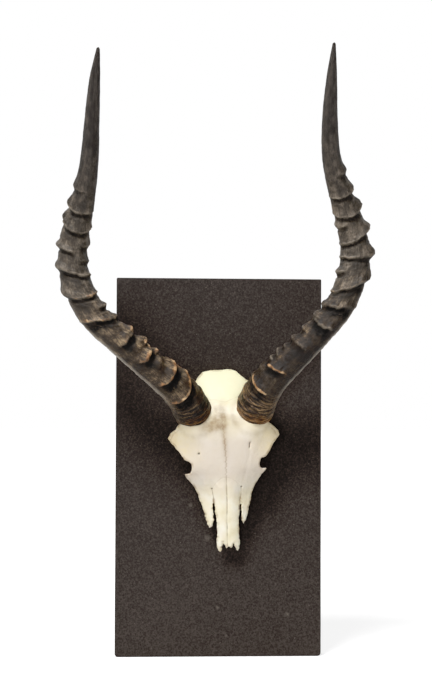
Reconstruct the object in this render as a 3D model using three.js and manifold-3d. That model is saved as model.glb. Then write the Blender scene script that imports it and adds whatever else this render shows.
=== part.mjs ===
// A pair of ringed antelope horns on their cut skull cap, fixed to a plain wooden board.
//
// Millimetres, +Z up. X runs across the board, and the front of the object faces -Y.
// The origin is the centre of the board's back face, which lies against a wall.
// The skull cap and the horns share a frame of their own, which hangs a little off plumb:
// its origin is on the board's front face, its Z runs up the middle of the skull.

import * as THREE from "three";
import Module from "manifold-3d";
import { mergeVertices } from "three/addons/utils/BufferGeometryUtils.js";

const wasm = await Module();
wasm.setup();

// ---- the board -------------------------------------------------------------------------

const BOARD_WIDTH = 228;
const BOARD_HEIGHT = 418;
const BOARD_THICKNESS = 24;
const BOARD_TOP_RADIUS = 1.5;
const BOARD_FOOT_RADIUS = 4;
const BOARD_ARRIS = 0.8;

// ---- how the skull hangs on it ---------------------------------------------------------

const SKULL_MIDDLE_X = 5.5;
const SKULL_TURN = THREE.MathUtils.degToRad(2.8);
const GAP = 0.3;

// ---- the skull cap ---------------------------------------------------------------------

// Height of the bone above the board along the middle line: [up, above the board].
const CROWN_LINE = [
  [-96, 16.5], [-84, 19.5], [-60, 27], [-40, 34], [-22, 40], [-6, 44.5],
  [12, 48], [30, 50], [48, 49.5], [64, 45], [80, 35], [95, 22.5], [112, 5],
];

// Drop to the sides: DROP times the distance from the middle to the power DROP_POWER.
const DROP_POWER = 1.6;
const FOREHEAD_DROP = 0.03;
const NOSE_DROP = 0.062;
const NOSE_FROM = 5;
const NOSE_TO = -35;

// The braincase is a dome that comes down to its sawn rim.
const BRAINCASE_FROM = 56;
const BRAINCASE_TO = 78;
const BRAINCASE_HALF_WIDTH = 36;
const RIM_HEIGHT = 6;

// The bone swells up to the foot of each horn.
const SWELLING = 5;
const SWELLING_X = 33;
const SWELLING_Z = 47;
const SWELLING_SPREAD = 14;

// Bone thickness, and where the solid back of the braincase gives way to thin bone.
const FOREHEAD_THICKNESS = 5.5;
const NOSE_THICKNESS = 3.2;
const SOLID_BACK_ABOVE = 64;

// The outline, as seen from the front: [right of the middle, up], from the crown down the left side.
const LEFT_SIDE = [
  [-10.5, 107.4], [-18.8, 106.2], [-23, 102], [-28, 95], [-32, 86], [-33.5, 76], [-36, 66],
  [-43, 56], [-50.6, 48.3], [-53.4, 44], [-58.9, 39.9], [-61.2, 35], [-59.2, 31.1], [-55, 27.1],
  [-53, 23.2], [-48.8, 18.7], [-44.8, 10.9], [-39.5, 9.1], [-37.2, 6.3], [-36.8, 1.9],
  [-38.7, -3.8], [-45.4, -4.4], [-43.4, -8.3], [-39.2, -12.9], [-34, -20.3], [-31, -27],
  [-29.1, -34.2], [-26.1, -43.9], [-23.6, -54], [-21.7, -61.4], [-20.1, -65.1], [-15.4, -62.3],
  [-14.6, -57], [-14.3, -46], [-15.2, -40], [-14.6, -34.6],
];
const NASAL_ENDS = [
  [-14.1, -37], [-13.4, -46], [-12.2, -56.1], [-11, -62.8], [-10.9, -70.7], [-12.6, -84.1],
  [-11.6, -88.6], [-10.1, -92], [-8.1, -89.9], [-5.5, -80.7], [-2.6, -87.2], [-1.2, -88.2],
  [0.6, -86.1], [2, -88.4], [4.3, -87.2], [6.3, -81.4], [9.2, -90.3], [10.7, -91.8], [12, -89.2],
  [12.7, -83.1], [12.7, -75.2], [12.4, -66.3], [11.8, -58.4], [13.1, -51.8], [14, -40],
];
const RIGHT_SIDE = [
  [14.7, -32.4], [16, -39.4], [15.8, -47.1], [15.2, -53.8], [15.9, -58.3], [17.7, -62.9],
  [19.4, -58.5], [20.8, -58], [22.1, -52], [23.7, -45.4], [26.4, -36.6], [27.8, -30],
  [29.6, -23.4], [34.6, -14.3], [39.1, -8.4], [45, -1.4], [39.1, -1.7], [36.9, 0.6], [36.9, 4.9],
  [38.4, 9.8], [43, 10.6], [48.4, 17.4], [53.1, 25.9], [57.7, 30.6], [60, 33.8], [58.8, 38.8],
  [54.4, 43.4], [48.5, 47.8], [42, 56], [36, 66], [34, 76], [33.5, 86], [31, 93.6], [22.9, 99.5],
  [17.6, 105.3], [12.2, 107.5],
];

// The walls between the eye sockets, which carry the plate down to the board: [half width, up].
const CORE_SIDE = [
  [34, 72], [37, 60], [38, 50], [31, 40], [26, 22], [25, 6], [27, -8], [22, -26], [12, -42], [8, -58],
];

// Sampling of the bone surface.
const BONE_STEP_X = 6.2;
const BONE_STEP_Z = 6.6;
const BONE_REACH_X = 64;
const BONE_FOOT = -96;
const BONE_TOP = 110;
const PRISM_DEPTH = 90;
const PRISM_BEHIND = 10;

// ---- the horns -------------------------------------------------------------------------

// Stations along each axis: [out from the middle, above the board, up, width across].
const LEFT_AXIS = [
  [32, 33, 61, 41], [41, 49, 78, 39], [56, 63, 95, 35], [83, 77, 118, 30], [107, 85, 141, 29.5],
  [138, 92, 173, 29], [154, 97, 216, 29.5], [152, 104, 248, 28], [143, 118, 278, 24],
  [133, 142, 320, 19.5], [128, 166, 359, 15.6], [123, 188, 399, 11], [118.5, 201, 425, 5],
];
const RIGHT_AXIS = [
  [33.5, 33, 61, 42.5], [40.5, 49, 78.5, 39.5], [52, 62, 95, 35], [77, 76, 118, 30.5], [100, 84, 140, 28.5],
  [128, 91, 173, 29], [143, 96, 215, 30], [140, 103, 247, 28], [130, 116, 277, 24],
  [117, 140, 318, 19.5], [114, 163, 356, 16], [115, 185, 396, 10.5], [117, 197, 423, 5],
];

// Rings along each horn: [distance from the base, how proud the crest stands], and where a ring
// doesn't face as its neighbours do, the way it faces in degrees, 0 to the front and 90 outwards.
const LEFT_RINGS = [
  [12, 0.8], [21, 0.9], [30, 1], [45, 3.2], [66, 4], [90, 4.8], [110, 4.6], [132, 4.4], [153, 4.8],
  [173, 4], [194, 4.8], [216, 5], [239, 5], [254, 2.4, -75], [268, 4.6], [289, 3.6], [308, 2.2],
];
const RIGHT_RINGS = [
  [11, 0.8], [20, 0.9], [29, 1], [43, 2.8], [60, 3.4], [80, 4.6], [99, 4.4], [118, 4], [140, 4.4],
  [158, 4.8, -10], [182, 4.8], [201, 3.8, -75], [214, 5], [238, 5.2], [253, 2.4, -75], [266, 4.6],
  [288, 4], [315, 2.2],
];

// A ring no prouder than this is a fine one, with no shoulder of its own.
const FINE_RING = 1.5;

// A crest drops sharply on its base side and slopes away slowly towards the tip.
const CREST_DROP = 3;
const CREST_SLOPE = 11;
const CREST_HOLLOW = 1.4;

// The crests face inwards on the lower horn and outwards on the upper horn.
const LOW_CREST_FACE = -60;
const HIGH_CREST_FACE = 55;
const CREST_FACE_FROM = 150;
const CREST_FACE_TO = 245;
const LOW_CREST_NARROWING = 1.2;
const HIGH_CREST_NARROWING = 0.8;

// Rings lie askew across the bend of the horn, most at SKEW_CENTRE.
const SKEW = 0.62;
const SKEW_CENTRE = 190;
const SKEW_SPREAD = 58;

const BASE_DEPTH_RATIO = 1.1;
const HORN_SIDES = 20;
const FIRST_ROW = 5;
const TIP_STEP = 14;

// The blunt end of the tip: [distance past the last station, share of its radius].
const TIP_ROUNDING = [[0.9, 0.8], [1.8, 0.45]];

const AXIS_SAMPLES_PER_STATION = 24;
const SOCKET_LENGTH = 70;
const PEDICLE_RATIO = 0.92;
const PEDICLE_LENGTH = 16;

// ---- small helpers ---------------------------------------------------------------------

const { lerp, clamp, smoothstep } = THREE.MathUtils;
const WELD_DISTANCE = 1e-3;

function alongLine(points, at) {
  const last = points.length - 1;
  if (at <= points[0][0]) return points[0][1];
  if (at >= points[last][0]) return points[last][1];
  const right = points.findIndex(([start]) => start > at);
  const [fromX, fromY] = points[right - 1];
  const [toX, toY] = points[right];
  return lerp(fromY, toY, (at - fromX) / (toX - fromX));
}

function toGeometry(positions, triangles) {
  const geometry = new THREE.BufferGeometry();
  geometry.setAttribute("position", new THREE.Float32BufferAttribute(positions, 3));
  geometry.setIndex(triangles);
  return geometry;
}

function toSolid(geometry) {
  const bare = geometry.clone();
  bare.deleteAttribute("normal");
  bare.deleteAttribute("uv");
  const merged = mergeVertices(bare, WELD_DISTANCE);
  return new wasm.Manifold(new wasm.Mesh({
    numProp: 3,
    vertProperties: new Float32Array(merged.attributes.position.array),
    triVerts: new Uint32Array(merged.index.array),
  }));
}

function fromSolid(solid) {
  const mesh = solid.getMesh();
  return toGeometry(Array.from(mesh.vertProperties), Array.from(mesh.triVerts));
}

function finish(name, geometry, color, roughness) {
  geometry.computeVertexNormals();
  const material = new THREE.MeshStandardMaterial({ color, roughness, metalness: 0, flatShading: true });
  const mesh = new THREE.Mesh(geometry, material);
  mesh.name = name;
  return mesh;
}

// ---- the board -------------------------------------------------------------------------

// A rectangle with four rounded corners, drawn corner by corner from the lower right.
function boardOutline() {
  const side = BOARD_WIDTH / 2;
  const top = BOARD_HEIGHT / 2;
  const corners = [
    [side, -top, BOARD_FOOT_RADIUS], [side, top, BOARD_TOP_RADIUS],
    [-side, top, BOARD_TOP_RADIUS], [-side, -top, BOARD_FOOT_RADIUS],
  ];
  const shape = new THREE.Shape();
  corners.forEach(([x, z, radius], index) => {
    const start = ((index - 1) * Math.PI) / 2;
    const centreX = x - Math.sign(x) * radius;
    const centreZ = z - Math.sign(z) * radius;
    shape.absarc(centreX, centreZ, radius, start, start + Math.PI / 2);
  });
  return shape;
}

function makeBoard() {
  const geometry = new THREE.ExtrudeGeometry(boardOutline(), {
    depth: BOARD_THICKNESS - 2 * BOARD_ARRIS,
    bevelEnabled: true,
    bevelThickness: BOARD_ARRIS,
    bevelSize: BOARD_ARRIS,
    bevelOffset: -BOARD_ARRIS,
    bevelSegments: 1,
    curveSegments: 3,
  });
  geometry.translate(0, 0, BOARD_ARRIS);
  geometry.rotateX(Math.PI / 2);
  return finish("board", geometry, 0x3f3834, 0.75);
}

// ---- the horns -------------------------------------------------------------------------

// Reads the stations into evenly spaced samples of the axis, with the length so far and the width.
function sampleAxis(stations, side) {
  const places = stations.map(([out, above, up]) => new THREE.Vector3(side * out, -above, up));
  const axis = new THREE.CatmullRomCurve3(places);
  const widthSteps = stations.map(([, , , width], index) => new THREE.Vector2(index, width));
  const widths = new THREE.SplineCurve(widthSteps);
  const count = (stations.length - 1) * AXIS_SAMPLES_PER_STATION;
  const samples = [];
  let length = 0;
  for (let index = 0; index <= count; index += 1) {
    const point = axis.getPoint(index / count);
    if (index > 0) length += point.distanceTo(samples[index - 1].point);
    samples.push({ length, point, width: widths.getPoint(index / count).y });
  }
  return samples;
}

// The axis point, its directions and the width at a distance from the base.
function axisAt(samples, distance, side) {
  const last = samples.length - 1;
  const found = samples.findIndex((sample) => sample.length > distance);
  const right = clamp(found < 0 ? last : found, 1, last);
  const before = samples[right - 1];
  const after = samples[right];
  const share = (distance - before.length) / (after.length - before.length);
  const point = new THREE.Vector3().lerpVectors(before.point, after.point, share);
  const ahead = samples[Math.min(right + 2, last)].point;
  const behind = samples[Math.max(right - 3, 0)].point;
  const along = new THREE.Vector3().subVectors(ahead, behind).normalize();
  const front = new THREE.Vector3(0, -1, 0).addScaledVector(along, along.y).normalize();
  const out = new THREE.Vector3().crossVectors(along, front).multiplyScalar(side);
  return { point, along, front, out, width: lerp(before.width, after.width, clamp(share, 0, 1)) };
}

function crestHeight(offset) {
  if (offset < 0) return 1 - smoothstep(-offset, 0, CREST_DROP);
  return Math.max(0, 1 - offset / CREST_SLOPE) ** CREST_HOLLOW;
}

// How much of its height a ring keeps at an angle around the horn.
function crestReach(at, face, angle) {
  const turn = smoothstep(at, CREST_FACE_FROM, CREST_FACE_TO);
  const towards = THREE.MathUtils.degToRad(face ?? lerp(LOW_CREST_FACE, HIGH_CREST_FACE, turn));
  const narrowing = lerp(LOW_CREST_NARROWING, HIGH_CREST_NARROWING, turn);
  return ((1 + Math.cos(angle - towards)) / 2) ** narrowing;
}

// How far the surface stands out from the plain horn at a distance and an angle.
function relief(rings, distance, angle) {
  const heights = rings.map(([at, proud, face]) => {
    const share = crestHeight(distance - at) * crestReach(at, face, angle);
    return proud * share;
  });
  return Math.max(0, ...heights);
}

function skewAt(distance) {
  return SKEW * Math.exp(-(((distance - SKEW_CENTRE) / SKEW_SPREAD) ** 2));
}

// One row of points around the horn, through the ring that crosses the axis at this distance.
function hornRow(samples, rings, distance, side, grow) {
  const row = [];
  const total = samples.at(-1).length;
  const halfWidth = axisAt(samples, distance, side).width / 2;
  for (let index = 0; index < HORN_SIDES; index += 1) {
    const angle = (index / HORN_SIDES) * 2 * Math.PI;
    const shifted = distance + skewAt(distance) * halfWidth * Math.sin(angle);
    const { point, front, out, width } = axisAt(samples, shifted, side);
    const depthRatio = lerp(BASE_DEPTH_RATIO, 1, distance / total);
    const radius = width / 2 + relief(rings, distance, angle) + grow;
    const place = point.clone();
    place.addScaledVector(front, Math.cos(angle) * radius * depthRatio);
    place.addScaledVector(out, Math.sin(angle) * radius);
    row.push(place);
  }
  return row;
}

// Joins rows of points into one closed body, with a flat cap at each end.
function closeRows(rows, side) {
  const positions = [];
  const triangles = [];
  const count = rows[0].length;
  rows.flat().forEach(({ x, y, z }) => positions.push(x, y, z));
  const face = (a, b, c) => (side > 0 ? triangles.push(a, b, c) : triangles.push(a, c, b));
  for (let row = 0; row < rows.length - 1; row += 1) {
    for (let index = 0; index < count; index += 1) {
      const next = (index + 1) % count;
      const low = row * count;
      const high = low + count;
      face(low + index, low + next, high + next);
      face(low + index, high + next, high + index);
    }
  }
  const middle = (row) => row.reduce((sum, point) => sum.add(point), new THREE.Vector3()).divideScalar(count);
  const foot = positions.length / 3;
  [middle(rows[0]), middle(rows.at(-1))].forEach(({ x, y, z }) => positions.push(x, y, z));
  const top = (rows.length - 1) * count;
  for (let index = 0; index < count; index += 1) {
    const next = (index + 1) % count;
    face(foot, next, index);
    face(foot + 1, top + index, top + next);
  }
  return toGeometry(positions, triangles);
}

// Rows at the foot, the crest and the shoulder of each ring, and evenly along the smooth tip.
function rowDistances(rings, total) {
  const distances = [0, FIRST_ROW];
  rings.forEach(([at, proud], index) => {
    const next = index + 1 < rings.length ? rings[index + 1][0] : at + 2 * CREST_SLOPE;
    distances.push(at - CREST_DROP, at);
    if (proud > FINE_RING) distances.push(at + Math.min(CREST_SLOPE / 2, (next - CREST_DROP - at) / 2));
  });
  const ringed = distances.at(-1);
  const steps = Math.round((total - ringed) / TIP_STEP);
  for (let step = 1; step < steps; step += 1) distances.push(lerp(ringed, total, step / steps));
  return distances.sort((a, b) => a - b);
}

// Shrinks the last row towards its middle and moves it on, once for each step of the rounding.
function roundTip(lastRow, end) {
  return TIP_ROUNDING.map(([past, share]) => lastRow.map((place) => {
    const spoke = place.clone().sub(end.point).multiplyScalar(share);
    return spoke.add(end.point).addScaledVector(end.along, past);
  }));
}

function makeHorn(name, stations, rings, side) {
  const samples = sampleAxis(stations, side);
  const total = samples.at(-1).length;
  const rows = rowDistances(rings, total).map((distance) => hornRow(samples, rings, distance, side, 0));
  rows.push(...roundTip(rows.at(-1), axisAt(samples, total, side)));
  return finish(name, closeRows(rows, side), 0x4a403a, 0.6);
}

// The lower end of a horn, a gap larger all round and a gap deeper, to cut clear of the bone.
function hornSocket(stations, rings, side) {
  const samples = sampleAxis(stations, side);
  const distances = rowDistances(rings, samples.at(-1).length).filter((distance) => distance < SOCKET_LENGTH);
  const rows = distances.map((distance) => hornRow(samples, rings, distance, side, GAP));
  const { along } = axisAt(samples, 0, side);
  rows[0].forEach((place) => place.addScaledVector(along, -GAP));
  return toSolid(closeRows(rows, side));
}

// The stump of bone under a horn, which the horn sits on face to face.
function hornPedicle(stations, side) {
  const samples = sampleAxis(stations, side);
  const { along } = axisAt(samples, 0, side);
  const top = hornRow(samples, [], 0, side, 0);
  const middle = samples[0].point;
  top.forEach((place) => place.sub(middle).multiplyScalar(PEDICLE_RATIO).add(middle));
  const foot = top.map((place) => place.clone().addScaledVector(along, -PEDICLE_LENGTH));
  return toSolid(closeRows([foot, top], side));
}

// ---- the skull cap ---------------------------------------------------------------------

function boneFront(x, z) {
  const across = Math.abs(x);
  const crown = alongLine(CROWN_LINE, z);
  const nose = smoothstep(NOSE_FROM - z, 0, NOSE_FROM - NOSE_TO);
  const fromSwelling = Math.hypot(across - SWELLING_X, z - SWELLING_Z);
  const swelling = SWELLING * Math.exp(-((fromSwelling / SWELLING_SPREAD) ** 2));
  const spread = crown + swelling - lerp(FOREHEAD_DROP, NOSE_DROP, nose) * across ** DROP_POWER;
  const roundness = Math.sqrt(Math.max(0, 1 - (across / BRAINCASE_HALF_WIDTH) ** 2));
  const dome = RIM_HEIGHT + (crown - RIM_HEIGHT) * roundness;
  return Math.max(RIM_HEIGHT, lerp(spread, dome, smoothstep(z, BRAINCASE_FROM, BRAINCASE_TO)));
}

function boneBack(x, z) {
  if (z > SOLID_BACK_ABOVE) return GAP;
  const nose = smoothstep(NOSE_FROM - z, 0, NOSE_FROM - NOSE_TO);
  return Math.max(GAP, boneFront(x, z) - lerp(FOREHEAD_THICKNESS, NOSE_THICKNESS, nose));
}

// A closed block over the whole skull, between two surfaces given as heights above the board.
function boneBlock(front, back) {
  const columns = Math.round((2 * BONE_REACH_X) / BONE_STEP_X);
  const rows = Math.round((BONE_TOP - BONE_FOOT) / BONE_STEP_Z);
  const positions = [];
  const triangles = [];
  [front, back].forEach((surface) => {
    for (let row = 0; row <= rows; row += 1) {
      for (let column = 0; column <= columns; column += 1) {
        const x = lerp(-BONE_REACH_X, BONE_REACH_X, column / columns);
        const z = lerp(BONE_FOOT, BONE_TOP, row / rows);
        positions.push(x, -surface(x, z), z);
      }
    }
  });
  const half = (columns + 1) * (rows + 1);
  const at = (column, row) => row * (columns + 1) + column;
  const quad = (a, b, c, d) => triangles.push(a, b, c, a, c, d);
  for (let row = 0; row < rows; row += 1) {
    for (let column = 0; column < columns; column += 1) {
      const corners = [at(column, row), at(column + 1, row), at(column + 1, row + 1), at(column, row + 1)];
      quad(...corners);
      quad(...corners.map((corner) => corner + half).reverse());
    }
  }
  const wall = (a, b) => quad(a, a + half, b + half, b);
  for (let column = 0; column < columns; column += 1) {
    wall(at(column, 0), at(column + 1, 0));
    wall(at(column + 1, rows), at(column, rows));
  }
  for (let row = 0; row < rows; row += 1) {
    wall(at(columns, row), at(columns, row + 1));
    wall(at(0, row + 1), at(0, row));
  }
  return toSolid(toGeometry(positions, triangles));
}

// A straight prism through the bone, from behind the board's face to in front of the crown.
function bonePrism(outline) {
  const shape = new THREE.Shape(outline.map(([x, z]) => new THREE.Vector2(x, z)));
  const geometry = new THREE.ExtrudeGeometry(shape, { depth: PRISM_DEPTH, bevelEnabled: false });
  geometry.translate(0, 0, -PRISM_BEHIND);
  geometry.rotateX(Math.PI / 2);
  return toSolid(geometry);
}

function makeSkull() {
  const outline = [...LEFT_SIDE, ...NASAL_ENDS, ...RIGHT_SIDE];
  const plate = boneBlock(boneFront, boneBack).intersect(bonePrism(outline));
  const coreOutline = [...CORE_SIDE.map(([x, z]) => [-x, z]), ...CORE_SIDE.toReversed()];
  const coreTop = (x, z) => boneFront(x, z) - NOSE_THICKNESS / 2;
  const core = boneBlock(coreTop, () => GAP).intersect(bonePrism(coreOutline));
  const bone = plate.add(core).add(hornPedicle(LEFT_AXIS, -1)).add(hornPedicle(RIGHT_AXIS, 1));
  const leftSocket = hornSocket(LEFT_AXIS, LEFT_RINGS, -1);
  const rightSocket = hornSocket(RIGHT_AXIS, RIGHT_RINGS, 1);
  const cut = bone.subtract(leftSocket).subtract(rightSocket);
  return finish("skull", fromSolid(cut), 0xe9e2cf, 0.55);
}

// ---- the assembly ----------------------------------------------------------------------

const trophy = new THREE.Group();
trophy.position.set(SKULL_MIDDLE_X, -BOARD_THICKNESS, 0);
trophy.rotation.y = -SKULL_TURN;
trophy.add(makeSkull());
trophy.add(makeHorn("horn_left", LEFT_AXIS, LEFT_RINGS, -1));
trophy.add(makeHorn("horn_right", RIGHT_AXIS, RIGHT_RINGS, 1));

const group = new THREE.Group();
group.add(makeBoard(), trophy);

export default group;
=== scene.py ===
# %% [markdown]
# # Ringed antelope horns on their skull cap
#
# A wall trophy has three materials that behave in three ways. Dry bleached bone is pale, soft and
# chalky. Horn is dark keratin that grew in rings around a bone core. The board is plain wood
# under a thin matt black paint. Each one gets its own way of being made below.
#
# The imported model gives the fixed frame: metres, Z up, and the front of the trophy faces -Y.

# %% Load the frame and keep its box
import math

import bpy
import bmesh
import numpy as np
from mathutils import Matrix, Vector, noise
from mathutils.geometry import delaunay_2d_cdt


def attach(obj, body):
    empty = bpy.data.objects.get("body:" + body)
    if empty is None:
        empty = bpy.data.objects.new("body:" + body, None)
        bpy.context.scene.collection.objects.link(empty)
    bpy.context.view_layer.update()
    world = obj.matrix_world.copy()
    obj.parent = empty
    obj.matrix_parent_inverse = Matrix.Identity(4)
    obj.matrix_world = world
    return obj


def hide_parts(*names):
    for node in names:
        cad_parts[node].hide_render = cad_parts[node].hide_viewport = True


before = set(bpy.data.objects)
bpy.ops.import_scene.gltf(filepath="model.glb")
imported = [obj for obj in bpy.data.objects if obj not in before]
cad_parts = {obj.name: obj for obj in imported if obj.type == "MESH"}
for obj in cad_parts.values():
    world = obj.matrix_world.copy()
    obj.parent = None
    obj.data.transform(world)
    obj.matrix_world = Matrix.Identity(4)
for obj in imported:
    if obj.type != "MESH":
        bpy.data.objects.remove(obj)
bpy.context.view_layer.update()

MM = 0.001

# %% [markdown]
# Colours are written as sRGB hex codes, as a paint chart gives them, and the shader wants linear
# light. One function does that change. One more function adds a node: its settings, its colour
# stops where it has them, and its inputs, which may be plain values, sockets or other nodes. A
# node stands for its first live output, and inputs go by place or by name.

# %% Two helpers for colours and nodes
def linear(hex_code):
    channels = [int(hex_code[start:start + 2], 16) / 255 for start in (1, 3, 5)]
    return (*[c / 12.92 if c <= 0.04045 else ((c + 0.055) / 1.055) ** 2.4 for c in channels], 1)


def add(tree, kind, inputs=(), stops=(), **settings):
    node = tree.nodes.new(kind)
    for name, value in settings.items():
        setattr(node, name, value)
    for index, (position, hex_code) in enumerate(stops):
        if index >= len(node.color_ramp.elements):
            node.color_ramp.elements.new(position)
        node.color_ramp.elements[index].position = position
        node.color_ramp.elements[index].color = linear(hex_code)
    for key, value in inputs.items() if isinstance(inputs, dict) else enumerate(inputs):
        live = [socket for socket in node.inputs if socket.enabled]
        target = live[key] if isinstance(key, int) else next(s for s in live if s.name == key)
        if isinstance(value, bpy.types.Node):
            value = next(socket for socket in value.outputs if socket.enabled)
        if isinstance(value, bpy.types.NodeSocket):
            tree.links.new(value, target)
        else:
            target.default_value = value
    return node


MATH, VECTOR = "ShaderNodeMath", "ShaderNodeVectorMath"
RANGE, MIX = "ShaderNodeMapRange", "ShaderNodeMix"
NOISE, RAMP, ATTRIBUTE = "ShaderNodeTexNoise", "ShaderNodeValToRGB", "ShaderNodeAttribute"


def new_material(name):
    material = bpy.data.materials.new(name)
    material.use_nodes = True
    material.node_tree.nodes.clear()
    return material, material.node_tree


def mesh_object(name, mesh):
    piece = bpy.data.objects.new(name, mesh)
    bpy.context.scene.collection.objects.link(piece)
    return piece


print("helpers ready")

# %% [markdown]
# ## The camera
#
# The camera looks slightly up and slightly to the right, from a little left of the board, with a
# long lens, so the horns that reach towards it hardly grow.

# %% Camera
FRAME_HEIGHT_MM, LENS_MM = 36, 85.3
CAMERA_PLACE = (-0.113, -1.824, 0.078)
PITCH, YAW, ROLL = math.radians(1.88), math.radians(3.48), math.radians(0.217)
camera_data = bpy.data.cameras.new("camera")
camera_data.sensor_fit = "VERTICAL"
camera_data.sensor_height = FRAME_HEIGHT_MM
camera_data.lens = LENS_MM
camera = bpy.data.objects.new("camera", camera_data)
bpy.context.scene.collection.objects.link(camera)
bpy.context.scene.camera = camera

look = Vector((math.sin(YAW) * math.cos(PITCH), math.cos(YAW) * math.cos(PITCH), math.sin(PITCH)))
level = Vector((math.cos(YAW), -math.sin(YAW), 0))
upright = level.cross(look)
right = level * math.cos(ROLL) + upright * math.sin(ROLL)
up = upright * math.cos(ROLL) - level * math.sin(ROLL)
turned = Matrix((right, up, -look)).transposed().to_4x4()
camera.matrix_world = Matrix.Translation(CAMERA_PLACE) @ turned
print("camera looks along", look)

# %% [markdown]
# ## The board
#
# The board is a plain slab with crisp upper corners and softer lower ones. It is one outline,
# extruded, with its sharp edges taken off by a bevel of three steps, as sandpaper and paint do.

# %% Board shape
BOARD_WIDTH, BOARD_HEIGHT, BOARD_THICKNESS = 228, 418, 24
BOARD_TOP_RADIUS, BOARD_FOOT_RADIUS, BOARD_ARRIS = 1.5, 4, 0.9
CORNER_STEPS = 6


def board_outline():
    half, top = BOARD_WIDTH / 2, BOARD_HEIGHT / 2
    corners = [(half, -top, BOARD_FOOT_RADIUS), (half, top, BOARD_TOP_RADIUS),
               (-half, top, BOARD_TOP_RADIUS), (-half, -top, BOARD_FOOT_RADIUS)]
    points = []
    for index, (x, z, radius) in enumerate(corners):
        centre = (x - math.copysign(radius, x), z - math.copysign(radius, z))
        for step in range(CORNER_STEPS + 1):
            angle = (index - 1 + step / CORNER_STEPS) * math.pi / 2
            points.append((centre[0] + radius * math.cos(angle), centre[1] + radius * math.sin(angle)))
    return points


def make_board():
    shape = bmesh.new()
    back = [shape.verts.new((x * MM, 0, z * MM)) for x, z in board_outline()]
    face = shape.faces.new(back)
    front = bmesh.ops.extrude_face_region(shape, geom=[face])
    moved = [item for item in front["geom"] if isinstance(item, bmesh.types.BMVert)]
    bmesh.ops.translate(shape, verts=moved, vec=(0, -BOARD_THICKNESS * MM, 0))
    flat = [edge for edge in shape.edges if len(edge.link_faces) == 2
            and edge.calc_face_angle() > math.radians(60)]
    bmesh.ops.bevel(shape, geom=flat, offset=BOARD_ARRIS * MM, segments=3, profile=0.5,
                    affect="EDGES", clamp_overlap=True)
    bmesh.ops.recalc_face_normals(shape, faces=shape.faces)
    mesh = bpy.data.meshes.new("painted_board")
    shape.to_mesh(mesh)
    shape.free()
    for polygon in mesh.polygons:
        polygon.use_smooth = polygon.area < 2e-4
    return mesh_object("painted_board", mesh)


board = make_board()
print("board:", len(board.data.polygons), "faces")

# %% [markdown]
# The finish is thin matt black paint rolled onto wood fibre board. The roller leaves an even
# stipple about a millimetre across, and dust sits in it as pale specks. The stipple is drawn
# about twice its real size so that it shows from two metres away. The coat is a little uneven
# over a hand's width, and the lower half is painted paler, as painted light bouncing up from
# the floor.

# %% Board finish
DUST_SPOTS = [(-1, -155, 2.2), (9, -186, 1.8), (76, -163, 3.2), (-12, -78, 4), (-31, -42, 3)]


def make_board_paint():
    material, tree = new_material("matt_black_paint_on_fibre_board")
    place = add(tree, "ShaderNodeTexCoord").outputs["Object"]
    stipple = add(tree, NOISE, {"Vector": place, "Scale": 560, "Detail": 3, "Roughness": 0.75})
    cloud = add(tree, NOISE, {"Vector": place, "Scale": 11, "Detail": 3})
    uneven = add(tree, MATH, (cloud, 0.1, -0.05), operation="MULTIPLY_ADD")
    height = add(tree, "ShaderNodeSeparateXYZ", (place,)).outputs["Z"]
    # Painted light: the paint gets paler towards the foot of the board, standing in for light from the
    # floor.
    painted_floor_bounce = add(tree, RANGE, (height, -0.02, -0.2, 0.0, 0.09))
    tone = add(tree, MATH, (stipple, uneven), operation="ADD")
    tone = add(tree, MATH, (tone, painted_floor_bounce), operation="ADD")
    paint = add(tree, RAMP, (tone,), [(0.32, "#231e1c"), (0.5, "#322b28"), (0.7, "#4a423d")])

    dust = add(tree, NOISE, {"Vector": place, "Scale": 700, "Detail": 1})
    grey = add(tree, RANGE, (dust, 0.76, 0.83))
    for x, z, size in DUST_SPOTS:
        spot = (x * MM, -BOARD_THICKNESS * MM, z * MM)
        away = add(tree, VECTOR, (place, spot), operation="DISTANCE")
        near = add(tree, RANGE, (away, size * MM, 0.3 * size * MM, 0.0, 0.5))
        speck = add(tree, MATH, (near, stipple), operation="MULTIPLY")
        grey = add(tree, MATH, (grey, speck), operation="MAXIMUM")
    dust_and_highlight = add(tree, MIX, (grey, paint, linear("#8d8478")), data_type="RGBA")

    bump = add(tree, "ShaderNodeBump", {"Height": stipple, "Strength": 0.35, "Distance": 0.0004})
    shader = add(tree, "ShaderNodeBsdfPrincipled", {
        "Base Color": dust_and_highlight, "Normal": bump, "Roughness": 0.72, "IOR": 1.45})
    add(tree, "ShaderNodeOutputMaterial", {"Surface": shader})
    return material


board.data.materials.append(make_board_paint())
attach(board, "root")
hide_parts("board")
print("board painted")

# %% [markdown]
# ## The horns
#
# A horn follows a rule: it is a tube of changing width along a bent axis, and each ring adds a
# crest to it. A crest drops sharply towards the base and slopes away in a hollow curve towards
# the tip. Sculpting would give the same look, but a rule is easier to change, so this is work
# for Geometry Nodes. The axis is a line of points that carry the thickness, and the rings are
# loose points that carry where each ring is, how proud it stands and which way it faces.

# %% Lines through a few stations
SKULL_MIDDLE_X = 5.5
SKULL_TURN = math.radians(2.8)


def smooth_line(points, steps, even=False):
    points = np.array(points, float)
    padded = np.vstack([2 * points[0] - points[1], points, 2 * points[-1] - points[-2]])
    line = []
    for first in range(len(points) - 1):
        before, start, end, after = padded[first:first + 4]
        gaps = [1, 1, 1] if even else [
            math.sqrt(np.linalg.norm(b - a)) for a, b in ((before, start), (start, end), (end, after))]
        leave = ((start - before) / gaps[0] - (end - before) / (gaps[0] + gaps[1])
                 + (end - start) / gaps[1]) * gaps[1]
        arrive = ((end - start) / gaps[1] - (after - start) / (gaps[1] + gaps[2])
                  + (after - end) / gaps[2]) * gaps[1]
        for t in np.arange(steps) / steps:
            line.append(start + leave * t + (3 * (end - start) - 2 * leave - arrive) * t ** 2
                        + (2 * (start - end) + leave + arrive) * t ** 3)
    line.append(points[-1])
    return np.array(line)


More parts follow.
